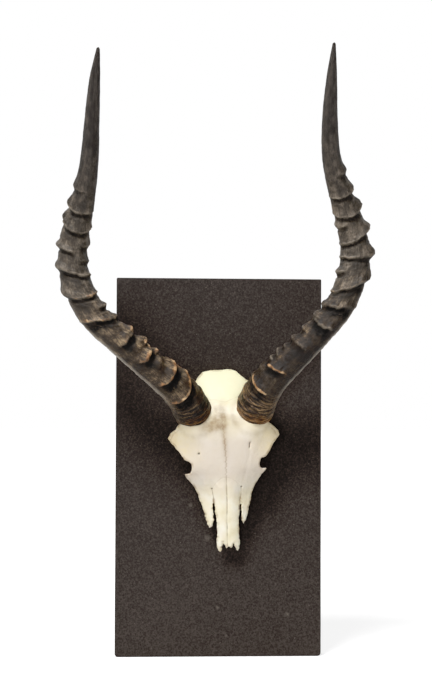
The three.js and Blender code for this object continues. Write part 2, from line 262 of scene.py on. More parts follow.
# Stations along each axis, in mm: out from the middle, above the board, up, width across.
LEFT_AXIS = [
    (32, 33, 61, 41), (41, 49, 78, 39), (56, 63, 95, 35), (83, 77, 118, 30), (107, 85, 141, 29.5),
    (138, 92, 173, 29), (154, 97, 216, 29.5), (152, 104, 248, 28), (143, 118, 278, 24),
    (133, 142, 320, 19.5), (128, 166, 359, 15.6), (123, 188, 399, 11), (118, 202, 428.5, 3)]
RIGHT_AXIS = [
    (33.5, 33, 61, 42.5), (40.5, 49, 78.5, 39.5), (52, 62, 95, 35), (77, 76, 118, 30.5),
    (100, 84, 140, 28.5), (128, 91, 173, 29), (143, 96, 215, 30), (140, 103, 247, 28),
    (130, 116, 277, 24), (117, 140, 318, 19.5), (114, 163, 356, 16), (115, 185, 396, 10.5),
    (117, 198.5, 426.5, 3)]
AXIS_STEPS = 16


def axis_object(name, stations, side):
    places = smooth_line([(side * out, -above, up) for out, above, up, width in stations], AXIS_STEPS)
    widths = smooth_line([[station[3]] for station in stations], AXIS_STEPS, even=True)[:, 0]
    mesh = bpy.data.meshes.new(name)
    mesh.from_pydata((places * MM).tolist(), [(i, i + 1) for i in range(len(places) - 1)], [])
    thickness = mesh.attributes.new("thickness", "FLOAT", "POINT")
    thickness.data.foreach_set("value", widths / 2 * MM)
    return mesh_object(name, mesh)


left_horn = axis_object("horn_left_ringed", LEFT_AXIS, -1)
right_horn = axis_object("horn_right_ringed", RIGHT_AXIS, 1)
print("axis points:", len(left_horn.data.vertices), len(right_horn.data.vertices))

# %% [markdown]
# Every ring swells into a knob on one side of the horn: on the inner side low down, and on the
# outer side higher up. A ring is given as its distance from the base and its height, and may say
# more: the way its knob faces and how far its crest runs around, in degrees, its lean to the
# side, its bow to the front, and how much its lip is rubbed down to paler horn. The base has
# fine rings, a few millimetres apart, where this year's horn grew, no two of them parallel.

# %% Rings as loose points
# (at, proud, face, reach, lean, bow, rubbed); None keeps the rule.
LEFT_RINGS = [
    (50, 3, -60, 115, -0.2, -0.6, 1), (69, 3.4, -65, 105, 0.1, -0.3, 1),
    (90, 3.8, -86, 26, 0, 0, 1), (88, 1.6, -55, 45, 0.1, -0.5, 0.8),
    (107, 4, -86, 26, 0, 0, 1), (105, 2.8, -50, 66, 0.2, -0.6, 1),
    (129, 3.6, -80, 36, 0, 0, 0.8), (129, 2.6, -50, 72, 0, -0.3, 0.6),
    (156, 3.2, -70, 150, 0.3, 0.15, 0.7), (174, 3.2, -85, 48),
    (192, 3.6, None, None, -0.2, -0.35, 0.6), (215, 4), (232, 1.8, -75, 52),
    (238, 4, 75, 82), (249, 2, -75, 50), (270, 4, None, None, 0, -0.55),
    (288, 3.2, None, None, 0, -0.35), (308, 1.8, 75, 75)]
RIGHT_RINGS = [
    (43, 2.2, -32, 42, 0, -0.2, 1.9), (41, 1.6, -80, 40), (53, 1.8, -85, 30),
    (64.5, 2.1, -16, 34, 0.35, 0.1, 2.2), (67, 2.2, -85, 30), (76, 2.4, -85, 34),
    (87, 1.8, -85, 28), (98, 2.4, -85, 34), (100, 1.8, -40, 52, 0.1, 0, 0.4),
    (116, 2.6, -85, 34), (135, 2.4, -75, 40), (137, 2.4, -50, 85, 0, -0.5, 0.3),
    (156, 3.2, -70, 150, 0.15, -0.05, 0.3), (180, 3.2, 60, 160, 0.3, -0.1, 0.4),
    (200, 2.8, -80, 46), (211, 4.2, None, None, -0.45, 0.2, 0.3),
    (235, 4.2, None, None, 0, -0.15), (253, 2, -75, 50),
    (266, 4, None, None, -0.15, -0.4), (286, 3.4, None, None, 0, -0.15), (308, 2, 75, 75)]
FINE_RINGS = [(2.5, 0.7), (6, 1.1), (10, 0.9), (14, 1.2), (18.5, 1), (22.5, 1.3), (27, 1),
              (31.5, 1.2), (36, 0.9)]
FINE_LEAN, FINE_BOW, FINE_FACE = 0.2, 0.17, -40
FULL_TURN = 200
USUAL_FACE, USUAL_REACH = 75, 165
BOLD_RING, LEAST_SPAN, LAST_SPAN = 1.5, 14, 24


def ease(value, start, end):
    share = np.clip((value - start) / (end - start), 0, 1)
    return share * share * (3 - 2 * share)


def ring_rows(rings):
    fine = [(at, proud, FINE_FACE, FULL_TURN, FINE_LEAN * math.sin(2.4 * number),
             FINE_BOW * math.cos(1.7 * number)) for number, (at, proud) in enumerate(FINE_RINGS)]
    rows = []
    for ring in sorted(fine + rings, key=lambda ring: ring[0]):
        at, proud, face, reach, lean, bow, rubbed = (*ring, *[None] * 5)[:7]
        rows.append([at, proud, USUAL_FACE if face is None else face,
                     USUAL_REACH if reach is None else reach, lean or 0, bow or 0, rubbed or 0])
    spans = np.diff([row[0] for row in rows], append=rows[-1][0] + LAST_SPAN)
    return [row + [span if row[1] < BOLD_RING else max(span, LEAST_SPAN)]
            for row, span in zip(rows, spans)]


def rings_object(name, rings):
    rows = np.array(ring_rows(rings))
    mesh = bpy.data.meshes.new(name)
    mesh.from_pydata([(0, 0, at * MM) for at in rows[:, 0]], [], [])
    degree = math.pi / 180
    units = {"at": MM, "proud": MM, "face": degree, "reach": degree, "lean": 1, "bow": 1,
             "rubbed": 1, "span": MM}
    for column, (key, unit) in enumerate(units.items()):
        mesh.attributes.new(key, "FLOAT", "POINT").data.foreach_set("value", rows[:, column] * unit)
    return mesh_object(name, mesh)


left_rings = rings_object("left_rings", LEFT_RINGS)
right_rings = rings_object("right_rings", RIGHT_RINGS)
print("rings:", len(left_rings.data.vertices), len(right_rings.data.vertices))

# %% [markdown]
# The node tree starts here. The axis is swept with a circle, which gives a closed tube whose
# points know how far along and how far around they are. A repeat zone then visits the rings one
# by one and keeps the highest crest, the sharpest edge, the deepest notch, the most wear and the
# darkest pit at every point. Most of these fade like a bell, which is four nodes in a row.

# %% Horn tree: inputs and the plain tube
tree = bpy.data.node_groups.new("ringed_horn", "GeometryNodeTree")
HORN_INPUTS = [
    ("Geometry", "Geometry", None), ("Rings", "Object", None), ("Material", "Material", None),
    ("Rows", "Int", 660), ("Sides", "Int", 128), ("Side", "Float", 1.0), ("Seed", "Float", 3.0),
    ("Drop", "Float", 3.9 * MM), ("Flare", "Float", 8 * MM), ("Fullness", "Float", 0.8 * MM),
    ("Fade", "Float", math.radians(16)), ("Wobble", "Float", 9 * MM), ("Chips", "Float", 2.4 * MM),
    ("Edge", "Float", 2.1 * MM), ("Notch", "Float", 1.25 * MM), ("Notch Length", "Float", 10 * MM),
    ("Skew", "Float", 0.62), ("Skew Centre", "Float", 190 * MM), ("Skew Spread", "Float", 58 * MM),
    ("Unevenness", "Float", 2 * MM), ("Streaks", "Float", 0.4 * MM), ("Dents", "Float", 2 * MM),
    ("Pit Centre", "Float", 8.5 * MM), ("Pit Length", "Float", 5 * MM),
    ("Base Depth", "Float", 1.1), ("Painted Low Shade", "Float", 0.0), ("Tint And Painted Light", "Float", 0.0)]
for name, kind, default in HORN_INPUTS:
    socket = tree.interface.new_socket(name, in_out="INPUT", socket_type="NodeSocket" + kind)
    if default is not None:
        socket.default_value = default
tree.interface.new_socket("Geometry", in_out="OUTPUT", socket_type="NodeSocketGeometry")
given = add(tree, "NodeGroupInput").outputs

NAMED, STORE = "GeometryNodeInputNamedAttribute", "GeometryNodeStoreNamedAttribute"
axis = add(tree, "GeometryNodeMeshToCurve", (given["Geometry"],))
total = add(tree, "GeometryNodeCurveLength", (axis,))
even = add(tree, "GeometryNodeResampleCurve", {"Curve": axis, "Count": given["Rows"]})
parameter = add(tree, "GeometryNodeSplineParameter").outputs
marked = add(tree, STORE, {"Geometry": even, "Name": "along", "Value": parameter["Length"]})
circle = add(tree, "GeometryNodeCurvePrimitiveCircle", {"Resolution": given["Sides"]})
turned = add(tree, MATH, (parameter["Factor"], 2 * math.pi), operation="MULTIPLY")
marked_circle = add(tree, STORE, {"Geometry": circle, "Name": "around", "Value": turned})
tube = add(tree, "GeometryNodeCurveToMesh", {
    "Curve": marked, "Profile Curve": marked_circle, "Fill Caps": True})

along = add(tree, NAMED, {"Name": "along"}, data_type="FLOAT")
around = add(tree, NAMED, {"Name": "around"}, data_type="FLOAT")
thickness = add(tree, NAMED, {"Name": "thickness"}, data_type="FLOAT")
sine = add(tree, MATH, (around,), operation="SINE")
cosine = add(tree, MATH, (around,), operation="COSINE")
sampled = add(tree, "GeometryNodeSampleCurve", {
    "Curves": axis, "Value": thickness, "Length": along}, mode="LENGTH")
tube = add(tree, STORE, {"Geometry": tube, "Name": "half", "Value": sampled})
for key in ("relief", "crest", "notch", "wear", "pit"):
    tube = add(tree, STORE, {"Geometry": tube, "Name": key, "Value": 0.0})
print("tube nodes:", len(tree.nodes))

# %% Horn tree: a bell curve
def bell(tree, distance, width):
    share = add(tree, MATH, (distance, width), operation="DIVIDE")
    share = add(tree, MATH, (share, share), operation="MULTIPLY")
    share = add(tree, MATH, (share, -1.0), operation="MULTIPLY")
    return add(tree, MATH, (share,), operation="EXPONENT")


print("bell curve ready")

# %% Horn tree: where a point lies from the ring in hand
rings_in = add(tree, "GeometryNodeObjectInfo", {"Object": given["Rings"]}).outputs["Geometry"]
count = add(tree, "GeometryNodeAttributeDomainSize", (rings_in,)).outputs["Point Count"]
zone_in, zone_out = add(tree, "GeometryNodeRepeatInput"), add(tree, "GeometryNodeRepeatOutput")
zone_in.pair_with_output(zone_out)
tree.links.new(count, zone_in.inputs["Iterations"])
tree.links.new(tube.outputs[0], zone_in.inputs["Geometry"])
ring = {}
for key in ("at", "proud", "face", "reach", "lean", "bow", "rubbed", "span"):
    column = add(tree, NAMED, {"Name": key}, data_type="FLOAT")
    ring[key] = add(tree, "GeometryNodeSampleIndex", {
        "Geometry": rings_in, "Value": column, "Index": zone_in.outputs["Iteration"]})

half = add(tree, NAMED, {"Name": "half"}, data_type="FLOAT")
own_place = add(tree, MATH, (ring["at"], 97.0), operation="MULTIPLY")
loop = add(tree, "ShaderNodeCombineXYZ", (cosine, sine, own_place))
wave = add(tree, NOISE, {
    "Vector": loop, "W": given["Seed"], "Scale": 1.5, "Detail": 3.0}, noise_dimensions="4D")
chip = add(tree, NOISE, {
    "Vector": loop, "W": given["Seed"], "Scale": 6.5, "Detail": 3.0}, noise_dimensions="4D")
most_wobble = add(tree, MATH, (ring["span"], 0.45), operation="MULTIPLY")
most_wobble = add(tree, MATH, (most_wobble, given["Wobble"]), operation="MINIMUM")
most_chip = add(tree, MATH, (ring["span"], 0.2), operation="MULTIPLY")
most_chip = add(tree, MATH, (most_chip, given["Chips"]), operation="MINIMUM")
wave_level = add(tree, MATH, (wave, 0.5), operation="SUBTRACT")
chip_level = add(tree, MATH, (chip, 0.5), operation="SUBTRACT")
leaning = add(tree, MATH, (ring["lean"], sine), operation="MULTIPLY")
tilt = add(tree, MATH, (ring["bow"], cosine, leaning), operation="MULTIPLY_ADD")
centre = add(tree, MATH, (tilt, half, ring["at"]), operation="MULTIPLY_ADD")
centre = add(tree, MATH, (wave_level, most_wobble, centre), operation="MULTIPLY_ADD")
centre = add(tree, MATH, (chip_level, most_chip, centre), operation="MULTIPLY_ADD")
offset = add(tree, MATH, (along, centre), operation="SUBTRACT")
turn_away = add(tree, MATH, (around, ring["face"]), operation="SUBTRACT")
towards_knob = add(tree, MATH, (turn_away,), operation="COSINE")
away = add(tree, MATH, (towards_knob,), operation="ARCCOSINE")
print("nodes with the ring in hand:", len(tree.nodes))

# %% [markdown]
# The profile of a ring has a lip, a short steep side towards the base, and a longer one towards
# the tip. It is broad and blunt at the knob, and narrow and sharp at the back. The lip is chipped
# and worn unevenly. A notch lies below its short side, and further down in front a pit is marked
# where the colour is painted dark as shade.

# %% Horn tree: the profile of one ring
room = add(tree, MATH, (ring["span"], 0.36), operation="MULTIPLY")
knob = add(tree, MATH, (towards_knob, 0.0), operation="MAXIMUM")
breadth = add(tree, MATH, (knob, 0.58, 0.42), operation="MULTIPLY_ADD")
drop = add(tree, MATH, (room, given["Drop"]), operation="MINIMUM")
drop = add(tree, MATH, (drop, breadth), operation="MULTIPLY")
flare = add(tree, MATH, (room, given["Flare"]), operation="MINIMUM")
flare = add(tree, MATH, (flare, breadth), operation="MULTIPLY")
tipwards = add(tree, MATH, (offset, 0.0), operation="GREATER_THAN")
side_length = add(tree, MIX, (tipwards, drop, flare), data_type="FLOAT")
distance = add(tree, MATH, (offset,), operation="ABSOLUTE")
fall = add(tree, MATH, (distance, side_length), operation="DIVIDE")
bluntness = add(tree, MATH, (knob, 0.9, 1.5), operation="MULTIPLY_ADD")
fall = add(tree, MATH, (fall, bluntness), operation="POWER")
fall = add(tree, MATH, (fall, -1.0), operation="MULTIPLY")
profile = add(tree, MATH, (fall,), operation="EXPONENT")
worn = add(tree, MATH, (wave_level, 2.2, 0.95), operation="MULTIPLY_ADD")
worn = add(tree, MATH, (chip_level, 1.1, worn), operation="MULTIPLY_ADD")
profile = add(tree, MATH, (profile, worn), operation="MULTIPLY")

crest_end = add(tree, MATH, (ring["reach"], given["Fade"]), operation="SUBTRACT")
fade_end = add(tree, MATH, (ring["reach"], given["Fade"]), operation="ADD")
running = add(tree, RANGE, (away, crest_end, fade_end, 1.0, 0.0), interpolation_type="SMOOTHSTEP")
knob = add(tree, MATH, (knob, 1.3), operation="POWER")
knob = add(tree, MATH, (knob, 0.5, 0.5), operation="MULTIPLY_ADD")
size = add(tree, MATH, (ring["proud"], running), operation="MULTIPLY")
size = add(tree, MATH, (size, knob), operation="MULTIPLY")
height = add(tree, MATH, (profile, size), operation="MULTIPLY")

boldness = add(tree, MATH, (ring["proud"], 2.4 * MM), operation="DIVIDE")
boldness = add(tree, MATH, (boldness, 1.0), operation="MINIMUM")
boldness = add(tree, MATH, (boldness, 2.0), operation="POWER")
boldness = add(tree, MATH, (boldness, running), operation="MULTIPLY")
edge = bell(tree, offset, given["Edge"])
edge = add(tree, MATH, (edge, boldness), operation="MULTIPLY")
rub_length = add(tree, MIX, (tipwards, 0.8, 1.8), data_type="FLOAT")
rub_length = add(tree, MATH, (rub_length, given["Edge"]), operation="MULTIPLY")
most_rubbed = add(tree, MATH, (ring["rubbed"], 1.0), operation="MAXIMUM")
rub_length = add(tree, MATH, (rub_length, most_rubbed), operation="DIVIDE")
rub = bell(tree, offset, rub_length)
rub = add(tree, MATH, (rub, boldness), operation="MULTIPLY")
rub = add(tree, MATH, (rub, ring["rubbed"]), operation="MULTIPLY")

notch_length = add(tree, MATH, (ring["span"], 0.6), operation="MULTIPLY")
notch_length = add(tree, MATH, (notch_length, given["Notch Length"]), operation="MINIMUM")
shorter = add(tree, RANGE, (ring["at"], 0.12, 0.18, 1.0, 0.6))
notch_length = add(tree, MATH, (notch_length, shorter), operation="MULTIPLY")
base_side = add(tree, MATH, (drop, -1.0), operation="MULTIPLY")
notch_end = add(tree, MATH, (base_side, notch_length), operation="SUBTRACT")
deepest = add(tree, MATH, (base_side, 0.85), operation="MULTIPLY")
shallow = add(tree, MATH, (base_side, 0.45), operation="MULTIPLY")
plateau = add(tree, MIX, (0.6, notch_end, deepest), data_type="FLOAT")
dip = add(tree, RANGE, (offset, notch_end, plateau), interpolation_type="SMOOTHSTEP")
ended = add(tree, RANGE, (offset, shallow, 0.0, 1.0, 0.0))
dip = add(tree, MATH, (dip, ended), operation="MULTIPLY")
dip = add(tree, MATH, (dip, boldness), operation="MULTIPLY")

# The pit only marks where painted shade goes; it does not move the surface.
from_pit = add(tree, MATH, (offset, given["Pit Centre"]), operation="ADD")
pit = bell(tree, from_pit, given["Pit Length"])
off_front = add(tree, MATH, (around, -0.3), operation="ADD")
off_front = add(tree, MATH, (off_front,), operation="COSINE")
on_front = add(tree, RANGE, (off_front, 0.6, 0.95), interpolation_type="SMOOTHSTEP")
pit = add(tree, MATH, (pit, on_front), operation="MULTIPLY")
pit = add(tree, MATH, (pit, boldness), operation="MULTIPLY")

kept = zone_in.outputs["Geometry"]
for key, value in (
        ("relief", height), ("crest", edge), ("notch", dip), ("wear", rub), ("pit", pit)):
    so_far = add(tree, NAMED, {"Name": key}, data_type="FLOAT")
    most = add(tree, MATH, (so_far, value), operation="MAXIMUM")
    kept = add(tree, STORE, {"Geometry": kept, "Name": key, "Value": most})
tree.links.new(kept.outputs[0], zone_out.inputs["Geometry"])
print("nodes with the ring zone:", len(tree.nodes))

# %% [markdown]
# With the heights known, each point of the tube is set in its place: the axis point, plus a
# radius in the direction that the point faces. Rings sit askew across the bend of a horn, so the
# axis is read a little further on or back around the ring.

# %% Horn tree: the axis, read askew, and two directions across it
from_bend = add(tree, MATH, (along, given["Skew Centre"]), operation="SUBTRACT")
shift = bell(tree, from_bend, given["Skew Spread"])
shift = add(tree, MATH, (shift, given["Skew"]), operation="MULTIPLY")
shift = add(tree, MATH, (shift, half), operation="MULTIPLY")
read_at = add(tree, MATH, (shift, sine, along), operation="MULTIPLY_ADD")
reading = add(tree, "GeometryNodeSampleCurve", {
    "Curves": axis, "Value": thickness, "Length": read_at}, mode="LENGTH").outputs

tangent = reading["Tangent"]
forward_share = add(tree, VECTOR, ((0, -1, 0), tangent), operation="DOT_PRODUCT")
leftover = add(tree, VECTOR, (tangent, forward_share), operation="SCALE")
front = add(tree, VECTOR, ((0, -1, 0), leftover), operation="SUBTRACT")
front = add(tree, VECTOR, (front,), operation="NORMALIZE")
out = add(tree, VECTOR, (tangent, front), operation="CROSS_PRODUCT")
out = add(tree, VECTOR, (out, given["Side"]), operation="SCALE")
print("nodes with both directions:", len(tree.nodes))

# %% [markdown]
# A place on the horn is also written as if the horn were a straight barrel 30 mm thick. Noise
# read from the barrel can be stretched lengthwise without minding the bend. Slow noise makes the
# tube uneven, and lengthwise noise gives it its grain.

# %% Horn tree: noise, radius and the finished mesh
BARREL_RADIUS = 15.0
barrel_x = add(tree, MATH, (cosine, BARREL_RADIUS), operation="MULTIPLY")
barrel_y = add(tree, MATH, (sine, BARREL_RADIUS), operation="MULTIPLY")
barrel_z = add(tree, MATH, (along, 1000.0), operation="MULTIPLY")
barrel = add(tree, "ShaderNodeCombineXYZ", (barrel_x, barrel_y, barrel_z))
slow = add(tree, NOISE, {
    "Vector": barrel, "W": given["Seed"], "Scale": 0.07, "Detail": 2.0}, noise_dimensions="4D")
long_grain = add(tree, VECTOR, (barrel, (1, 1, 0.07)), operation="MULTIPLY")
grain = add(tree, NOISE, {
    "Vector": long_grain, "W": given["Seed"], "Scale": 0.4, "Detail": 4.0}, noise_dimensions="4D")
slow_level = add(tree, MATH, (slow, 0.5), operation="SUBTRACT")
grain_level = add(tree, MATH, (grain, 0.5), operation="SUBTRACT")
rough = add(tree, MATH, (slow_level, given["Unevenness"]), operation="MULTIPLY")
rough = add(tree, MATH, (grain_level, given["Streaks"], rough), operation="MULTIPLY_ADD")
dented = add(tree, NOISE, {
    "Vector": barrel, "W": given["Seed"], "Scale": 0.24, "Detail": 3.0, "Distortion": 0.4},
    noise_dimensions="4D")
dent_level = add(tree, MATH, (dented, 0.5), operation="SUBTRACT")
rough = add(tree, MATH, (dent_level, given["Dents"], rough), operation="MULTIPLY_ADD")
ringed = add(tree, RANGE, (along, 0.34, 0.26, 0.3, 1.0))
rough = add(tree, MATH, (rough, ringed), operation="MULTIPLY")

relief = add(tree, NAMED, {"Name": "relief"}, data_type="FLOAT")
notch = add(tree, NAMED, {"Name": "notch"}, data_type="FLOAT")
radius = add(tree, MATH, (reading["Value"], relief), operation="ADD")
radius = add(tree, MATH, (radius, rough), operation="ADD")
full_above = add(tree, RANGE, (along, 0.03, 0.06))
full_below = add(tree, RANGE, (along, 0.33, 0.27))
fullness = add(tree, MATH, (full_above, full_below), operation="MULTIPLY")
radius = add(tree, MATH, (fullness, given["Fullness"], radius), operation="MULTIPLY_ADD")
notch_depth = add(tree, MATH, (notch, given["Notch"]), operation="MULTIPLY")
radius = add(tree, MATH, (radius, notch_depth), operation="SUBTRACT")
to_tip = add(tree, MATH, (total, along), operation="SUBTRACT")
to_tip = add(tree, RANGE, (to_tip, 0.0, 1.6 * MM))
to_tip = add(tree, MATH, (to_tip,), operation="SQRT")
to_tip = add(tree, MATH, (to_tip, 0.04), operation="MAXIMUM")
radius = add(tree, MATH, (radius, to_tip), operation="MULTIPLY")
foot = add(tree, RANGE, (along, 0.0, 1.6 * MM, -0.9 * MM, 0.0), interpolation_type="SMOOTHSTEP")
radius = add(tree, MATH, (radius, foot), operation="ADD")

depth = add(tree, RANGE, (along, 0.0, total, given["Base Depth"], 1.0))
ahead_of_axis = add(tree, MATH, (cosine, radius), operation="MULTIPLY")
ahead_of_axis = add(tree, MATH, (ahead_of_axis, depth), operation="MULTIPLY")
beside_axis = add(tree, MATH, (sine, radius), operation="MULTIPLY")
forward = add(tree, VECTOR, (front, ahead_of_axis), operation="SCALE")
sideways = add(tree, VECTOR, (out, beside_axis), operation="SCALE")
place = add(tree, VECTOR, (reading["Position"], forward), operation="ADD")
place = add(tree, VECTOR, (place, sideways), operation="ADD")
formed = add(tree, "GeometryNodeSetPosition", {
    "Geometry": zone_out.outputs["Geometry"], "Position": place})
formed = add(tree, STORE, {
    "Geometry": formed, "Name": "barrel", "Value": barrel}, data_type="FLOAT_VECTOR")
# Painted shade: this share darkens the colour of the lower part of a horn; only the right horn is given
# it.
low_share = add(tree, RANGE, (along, 0.24, 0.1, 0.0, given["Painted Low Shade"]))
for key, value in (("grime", low_share), ("tint", given["Tint And Painted Light"])):
    formed = add(tree, STORE, {"Geometry": formed, "Name": key, "Value": value})
hung = add(tree, "GeometryNodeTransform", {
    "Geometry": formed, "Translation": (SKULL_MIDDLE_X * MM, -BOARD_THICKNESS * MM, 0),
    "Rotation": (0, -SKULL_TURN, 0)})
smooth = add(tree, "GeometryNodeSetShadeSmooth", {"Geometry": hung})
real = add(tree, "GeometryNodeRealizeInstances", {"Geometry": smooth})
dressed = add(tree, "GeometryNodeSetMaterial", {"Geometry": real, "Material": given["Material"]})
add(tree, "NodeGroupOutput", {"Geometry": dressed})
horn_tree = tree
print("nodes in the horn tree:", len(horn_tree.nodes))

# %% [markdown]
# Horn is keratin, the stuff of hooves and nails: grey-brown, half matt, with a faint sheen where
# it has been handled. Its fibres run lengthwise and show as fine streaks, drawn about three times
# as wide as they are. It is browner low down, and growth lines some two millimetres apart circle
# the base, with an amber rim. The outer side is painted pale, a painted rim highlight over pale
# polished fibres. Painted shade darkens the notches and pits, and the lower right horn. The crests
# carry a painted highlight, or are rubbed through to a warm tan. The right horn is painted a little
# lighter all over, as painted light. Its IOR is near 1.54.
#
# Each of these is a share and a colour. They are worked out one by one, then laid over each other
# in one loop, from the oldest to the newest.

# %% Horn finish
def make_horn_finish():
    material, tree = new_material("ringed_keratin_horn")
    barrel = add(tree, ATTRIBUTE, attribute_name="barrel").outputs["Vector"]
    crest, notch, wear, pit, along, grime, tint = [
        add(tree, ATTRIBUTE, attribute_name=key).outputs["Fac"]
        for key in ("crest", "notch", "wear", "pit", "along", "grime", "tint")]
    sides = add(tree, "ShaderNodeSeparateXYZ", (barrel,)).outputs
    lengthwise = add(tree, VECTOR, (barrel, (1, 1, 0.1)), operation="MULTIPLY")
    fibre = add(tree, NOISE, {"Vector": lengthwise, "Scale": 1.7, "Detail": 5, "Roughness": 0.72})
    band = add(tree, NOISE, {"Vector": lengthwise, "Scale": 0.16, "Detail": 2})
    blotch = add(tree, NOISE, {"Vector": barrel, "Scale": 0.1, "Detail": 4})
    grit = add(tree, NOISE, {"Vector": barrel, "Scale": 0.5, "Detail": 3, "Roughness": 0.65})

    tone = add(tree, MATH, (fibre, blotch), operation="ADD")
    tone = add(tree, MATH, (band, 0.6, tone), operation="MULTIPLY_ADD")
    tone = add(tree, MATH, (grit, 0.5, tone), operation="MULTIPLY_ADD")
    # Painted shade: the lower part of the right horn is painted darker.
    tone = add(tree, MATH, (grime, -0.35, tone), operation="MULTIPLY_ADD")
    # Painted light: the right horn's tone is lifted all over, as if it caught more light from the
    # right.
    tone = add(tree, MATH, (tint, 0.07, tone), operation="MULTIPLY_ADD")
    tone = add(tree, RANGE, (tone, 1.08, 2.0))
    body = add(tree, RAMP, (tone,), [(0.1, "#1f1a16"), (0.5, "#463e35"), (0.9, "#85796b")])
    low_body = add(tree, RAMP, (tone,), [(0.16, "#1a110b"), (0.52, "#443628"), (0.86, "#a38c6d")])
    low = add(tree, RANGE, (along, 0.2, 0.12))
    high = add(tree, RANGE, (along, 0.27, 0.36))
    tip = add(tree, RAMP, (tone,), [(0.1, "#191411"), (0.5, "#2e2824"), (0.9, "#534b44")])

    around_base = add(tree, VECTOR, (barrel, (0.07, 0.07, 0.5)), operation="MULTIPLY")
    growth = add(tree, NOISE, {
        "Vector": around_base, "Scale": 1.0, "Detail": 5, "Roughness": 0.7, "Distortion": 0.5})
    growth = add(tree, MATH, (grit, 0.25, growth), operation="MULTIPLY_ADD")
    # The same value makes the right horn's base rings lighter and browner, a real difference in colour.
    growth = add(tree, MATH, (tint, 0.06, growth), operation="MULTIPLY_ADD")
    base = add(tree, RAMP, (growth,), [
        (0.55, "#070505"), (0.62, "#1d1510"), (0.69, "#463427"), (0.79, "#a5865f")])
    base_share = add(tree, RANGE, (along, 0.044, 0.022, 0.0, 0.9))
    frayed = add(tree, MATH, (grit, 0.012, along), operation="MULTIPLY_ADD")
    frayed = add(tree, MATH, (blotch, 0.03, frayed), operation="MULTIPLY_ADD")
    amber_share = add(tree, RANGE, (frayed, 0.032, 0.026, 0.0, 0.8))
    amber = add(tree, RAMP, (growth,), [(0.58, "#2a190c"), (0.67, "#75491f"), (0.78, "#b58243")])

    # Painted highlight: the outer side is painted pale along its edge as a rim of light, over pale
    # polished fibres.
    outer = add(tree, RANGE, (sides["Y"], 12.2, 14.8))
    low_down = add(tree, RANGE, (along, 0.2, 0.13))
    above_base = add(tree, RANGE, (along, 0.03, 0.055, 0.25, 1.0))
    low_down = add(tree, MATH, (low_down, above_base), operation="MULTIPLY")
    polish_and_rim_highlight = add(tree, MATH, (outer, low_down), operation="MULTIPLY")
    light_fibre = add(tree, RANGE, (fibre, 0.4, 0.58, 0.15, 1.0))
    polish_and_rim_highlight = add(tree, MATH, (polish_and_rim_highlight, light_fibre), operation="MULTIPLY")

    # Painted shade: the notches under the crests are painted near black, more at the front, low down
    # and in patches.
    facing = add(tree, RANGE, (sides["X"], 2.0, 12.0, 0.35, 1.0))
    painted_shade = add(tree, MATH, (notch, facing), operation="MULTIPLY")
    more_shade_low = add(tree, RANGE, (along, 0.13, 0.19, 1.3, 0.95))
    painted_shade = add(tree, MATH, (painted_shade, more_shade_low), operation="MULTIPLY")
    patchy_shade = add(tree, RANGE, (blotch, 0.36, 0.56, 0.5, 0.95))
    painted_shade = add(tree, MATH, (painted_shade, patchy_shade), operation="MULTIPLY", use_clamp=True)
    # Painted shade: a dark patch in front below each crest, where the hollow lies in shade.
    painted_pit_shade = add(tree, RANGE, (along, 0.15, 0.22, 1.1, 0.25))
    painted_pit_shade = add(tree, MATH, (pit, painted_pit_shade), operation="MULTIPLY")
    grit_share = add(tree, RANGE, (grit, 0.36, 0.52, 0.5, 1.0))
    painted_pit_shade = add(tree, MATH, (painted_pit_shade, grit_share), operation="MULTIPLY", use_clamp=True)
    painted_shade = add(tree, MATH, (painted_shade, painted_pit_shade), operation="MAXIMUM")

    # Painted highlight: the crest lips are painted a paler grey, as light catching them.
    ragged_crest = add(tree, MATH, (grit, 0.9, crest), operation="MULTIPLY_ADD")
    rubbed = add(tree, RANGE, (ragged_crest, 0.75, 1.3))
    gate = add(tree, NOISE, {"Vector": barrel, "Scale": 0.11, "Detail": 3, "Roughness": 0.6})
    much_worn = add(tree, MATH, (wear, wear), operation="MULTIPLY")
    patchy = add(tree, MATH, (much_worn, 0.13, gate), operation="MULTIPLY_ADD")
    patchy = add(tree, RANGE, (patchy, 0.5, 0.6))
    dust_and_highlight = add(tree, RANGE, (gate, 0.38, 0.6, 0.1, 0.55))
    dust_and_highlight = add(tree, MATH, (rubbed, dust_and_highlight), operation="MULTIPLY")

    scratched = add(tree, MATH, (fibre, grit), operation="ADD")
    wear = add(tree, MATH, (wear, 1.0), operation="MINIMUM")
    rubbed_through = add(tree, MATH, (scratched, 1.2, wear), operation="MULTIPLY_ADD")
    rubbed_through = add(tree, RANGE, (rubbed_through, 1.56, 1.98, 0.0, 0.88))
    rubbed_through = add(tree, MATH, (rubbed_through, patchy), operation="MULTIPLY")
    tan = add(tree, RAMP, (band,), [(0.36, "#69492f"), (0.5, "#9a6f47"), (0.66, "#dcb88c")])

    layers = [
        (low, low_body), (high, tip), (base_share, base), (amber_share, amber),
        (polish_and_rim_highlight, linear("#b5ab9c")), (painted_shade, linear("#100c09")), (dust_and_highlight, linear("#94897a")),
        (rubbed_through, tan)]
    skin = body
    for share, colour in layers:
        skin = add(tree, MIX, (share, skin, colour), data_type="RGBA")

    grain = add(tree, MATH, (fibre, grit), operation="ADD")
    bump = add(tree, "ShaderNodeBump", {"Height": grain, "Strength": 0.7, "Distance": 0.001})
    gloss = add(tree, RANGE, (fibre, 0.3, 0.7, 0.38, 0.6))
    gloss = add(tree, MATH, (painted_shade, 0.3, gloss), operation="MULTIPLY_ADD")
    shader = add(tree, "ShaderNodeBsdfPrincipled", {
        "Base Color": skin, "Normal": bump, "Roughness": gloss, "IOR": 1.54})
    add(tree, "ShaderNodeOutputMaterial", {"Surface": shader})
    return material


horn_finish = make_horn_finish()
print("horn finish:", len(horn_finish.node_tree.nodes), "nodes")

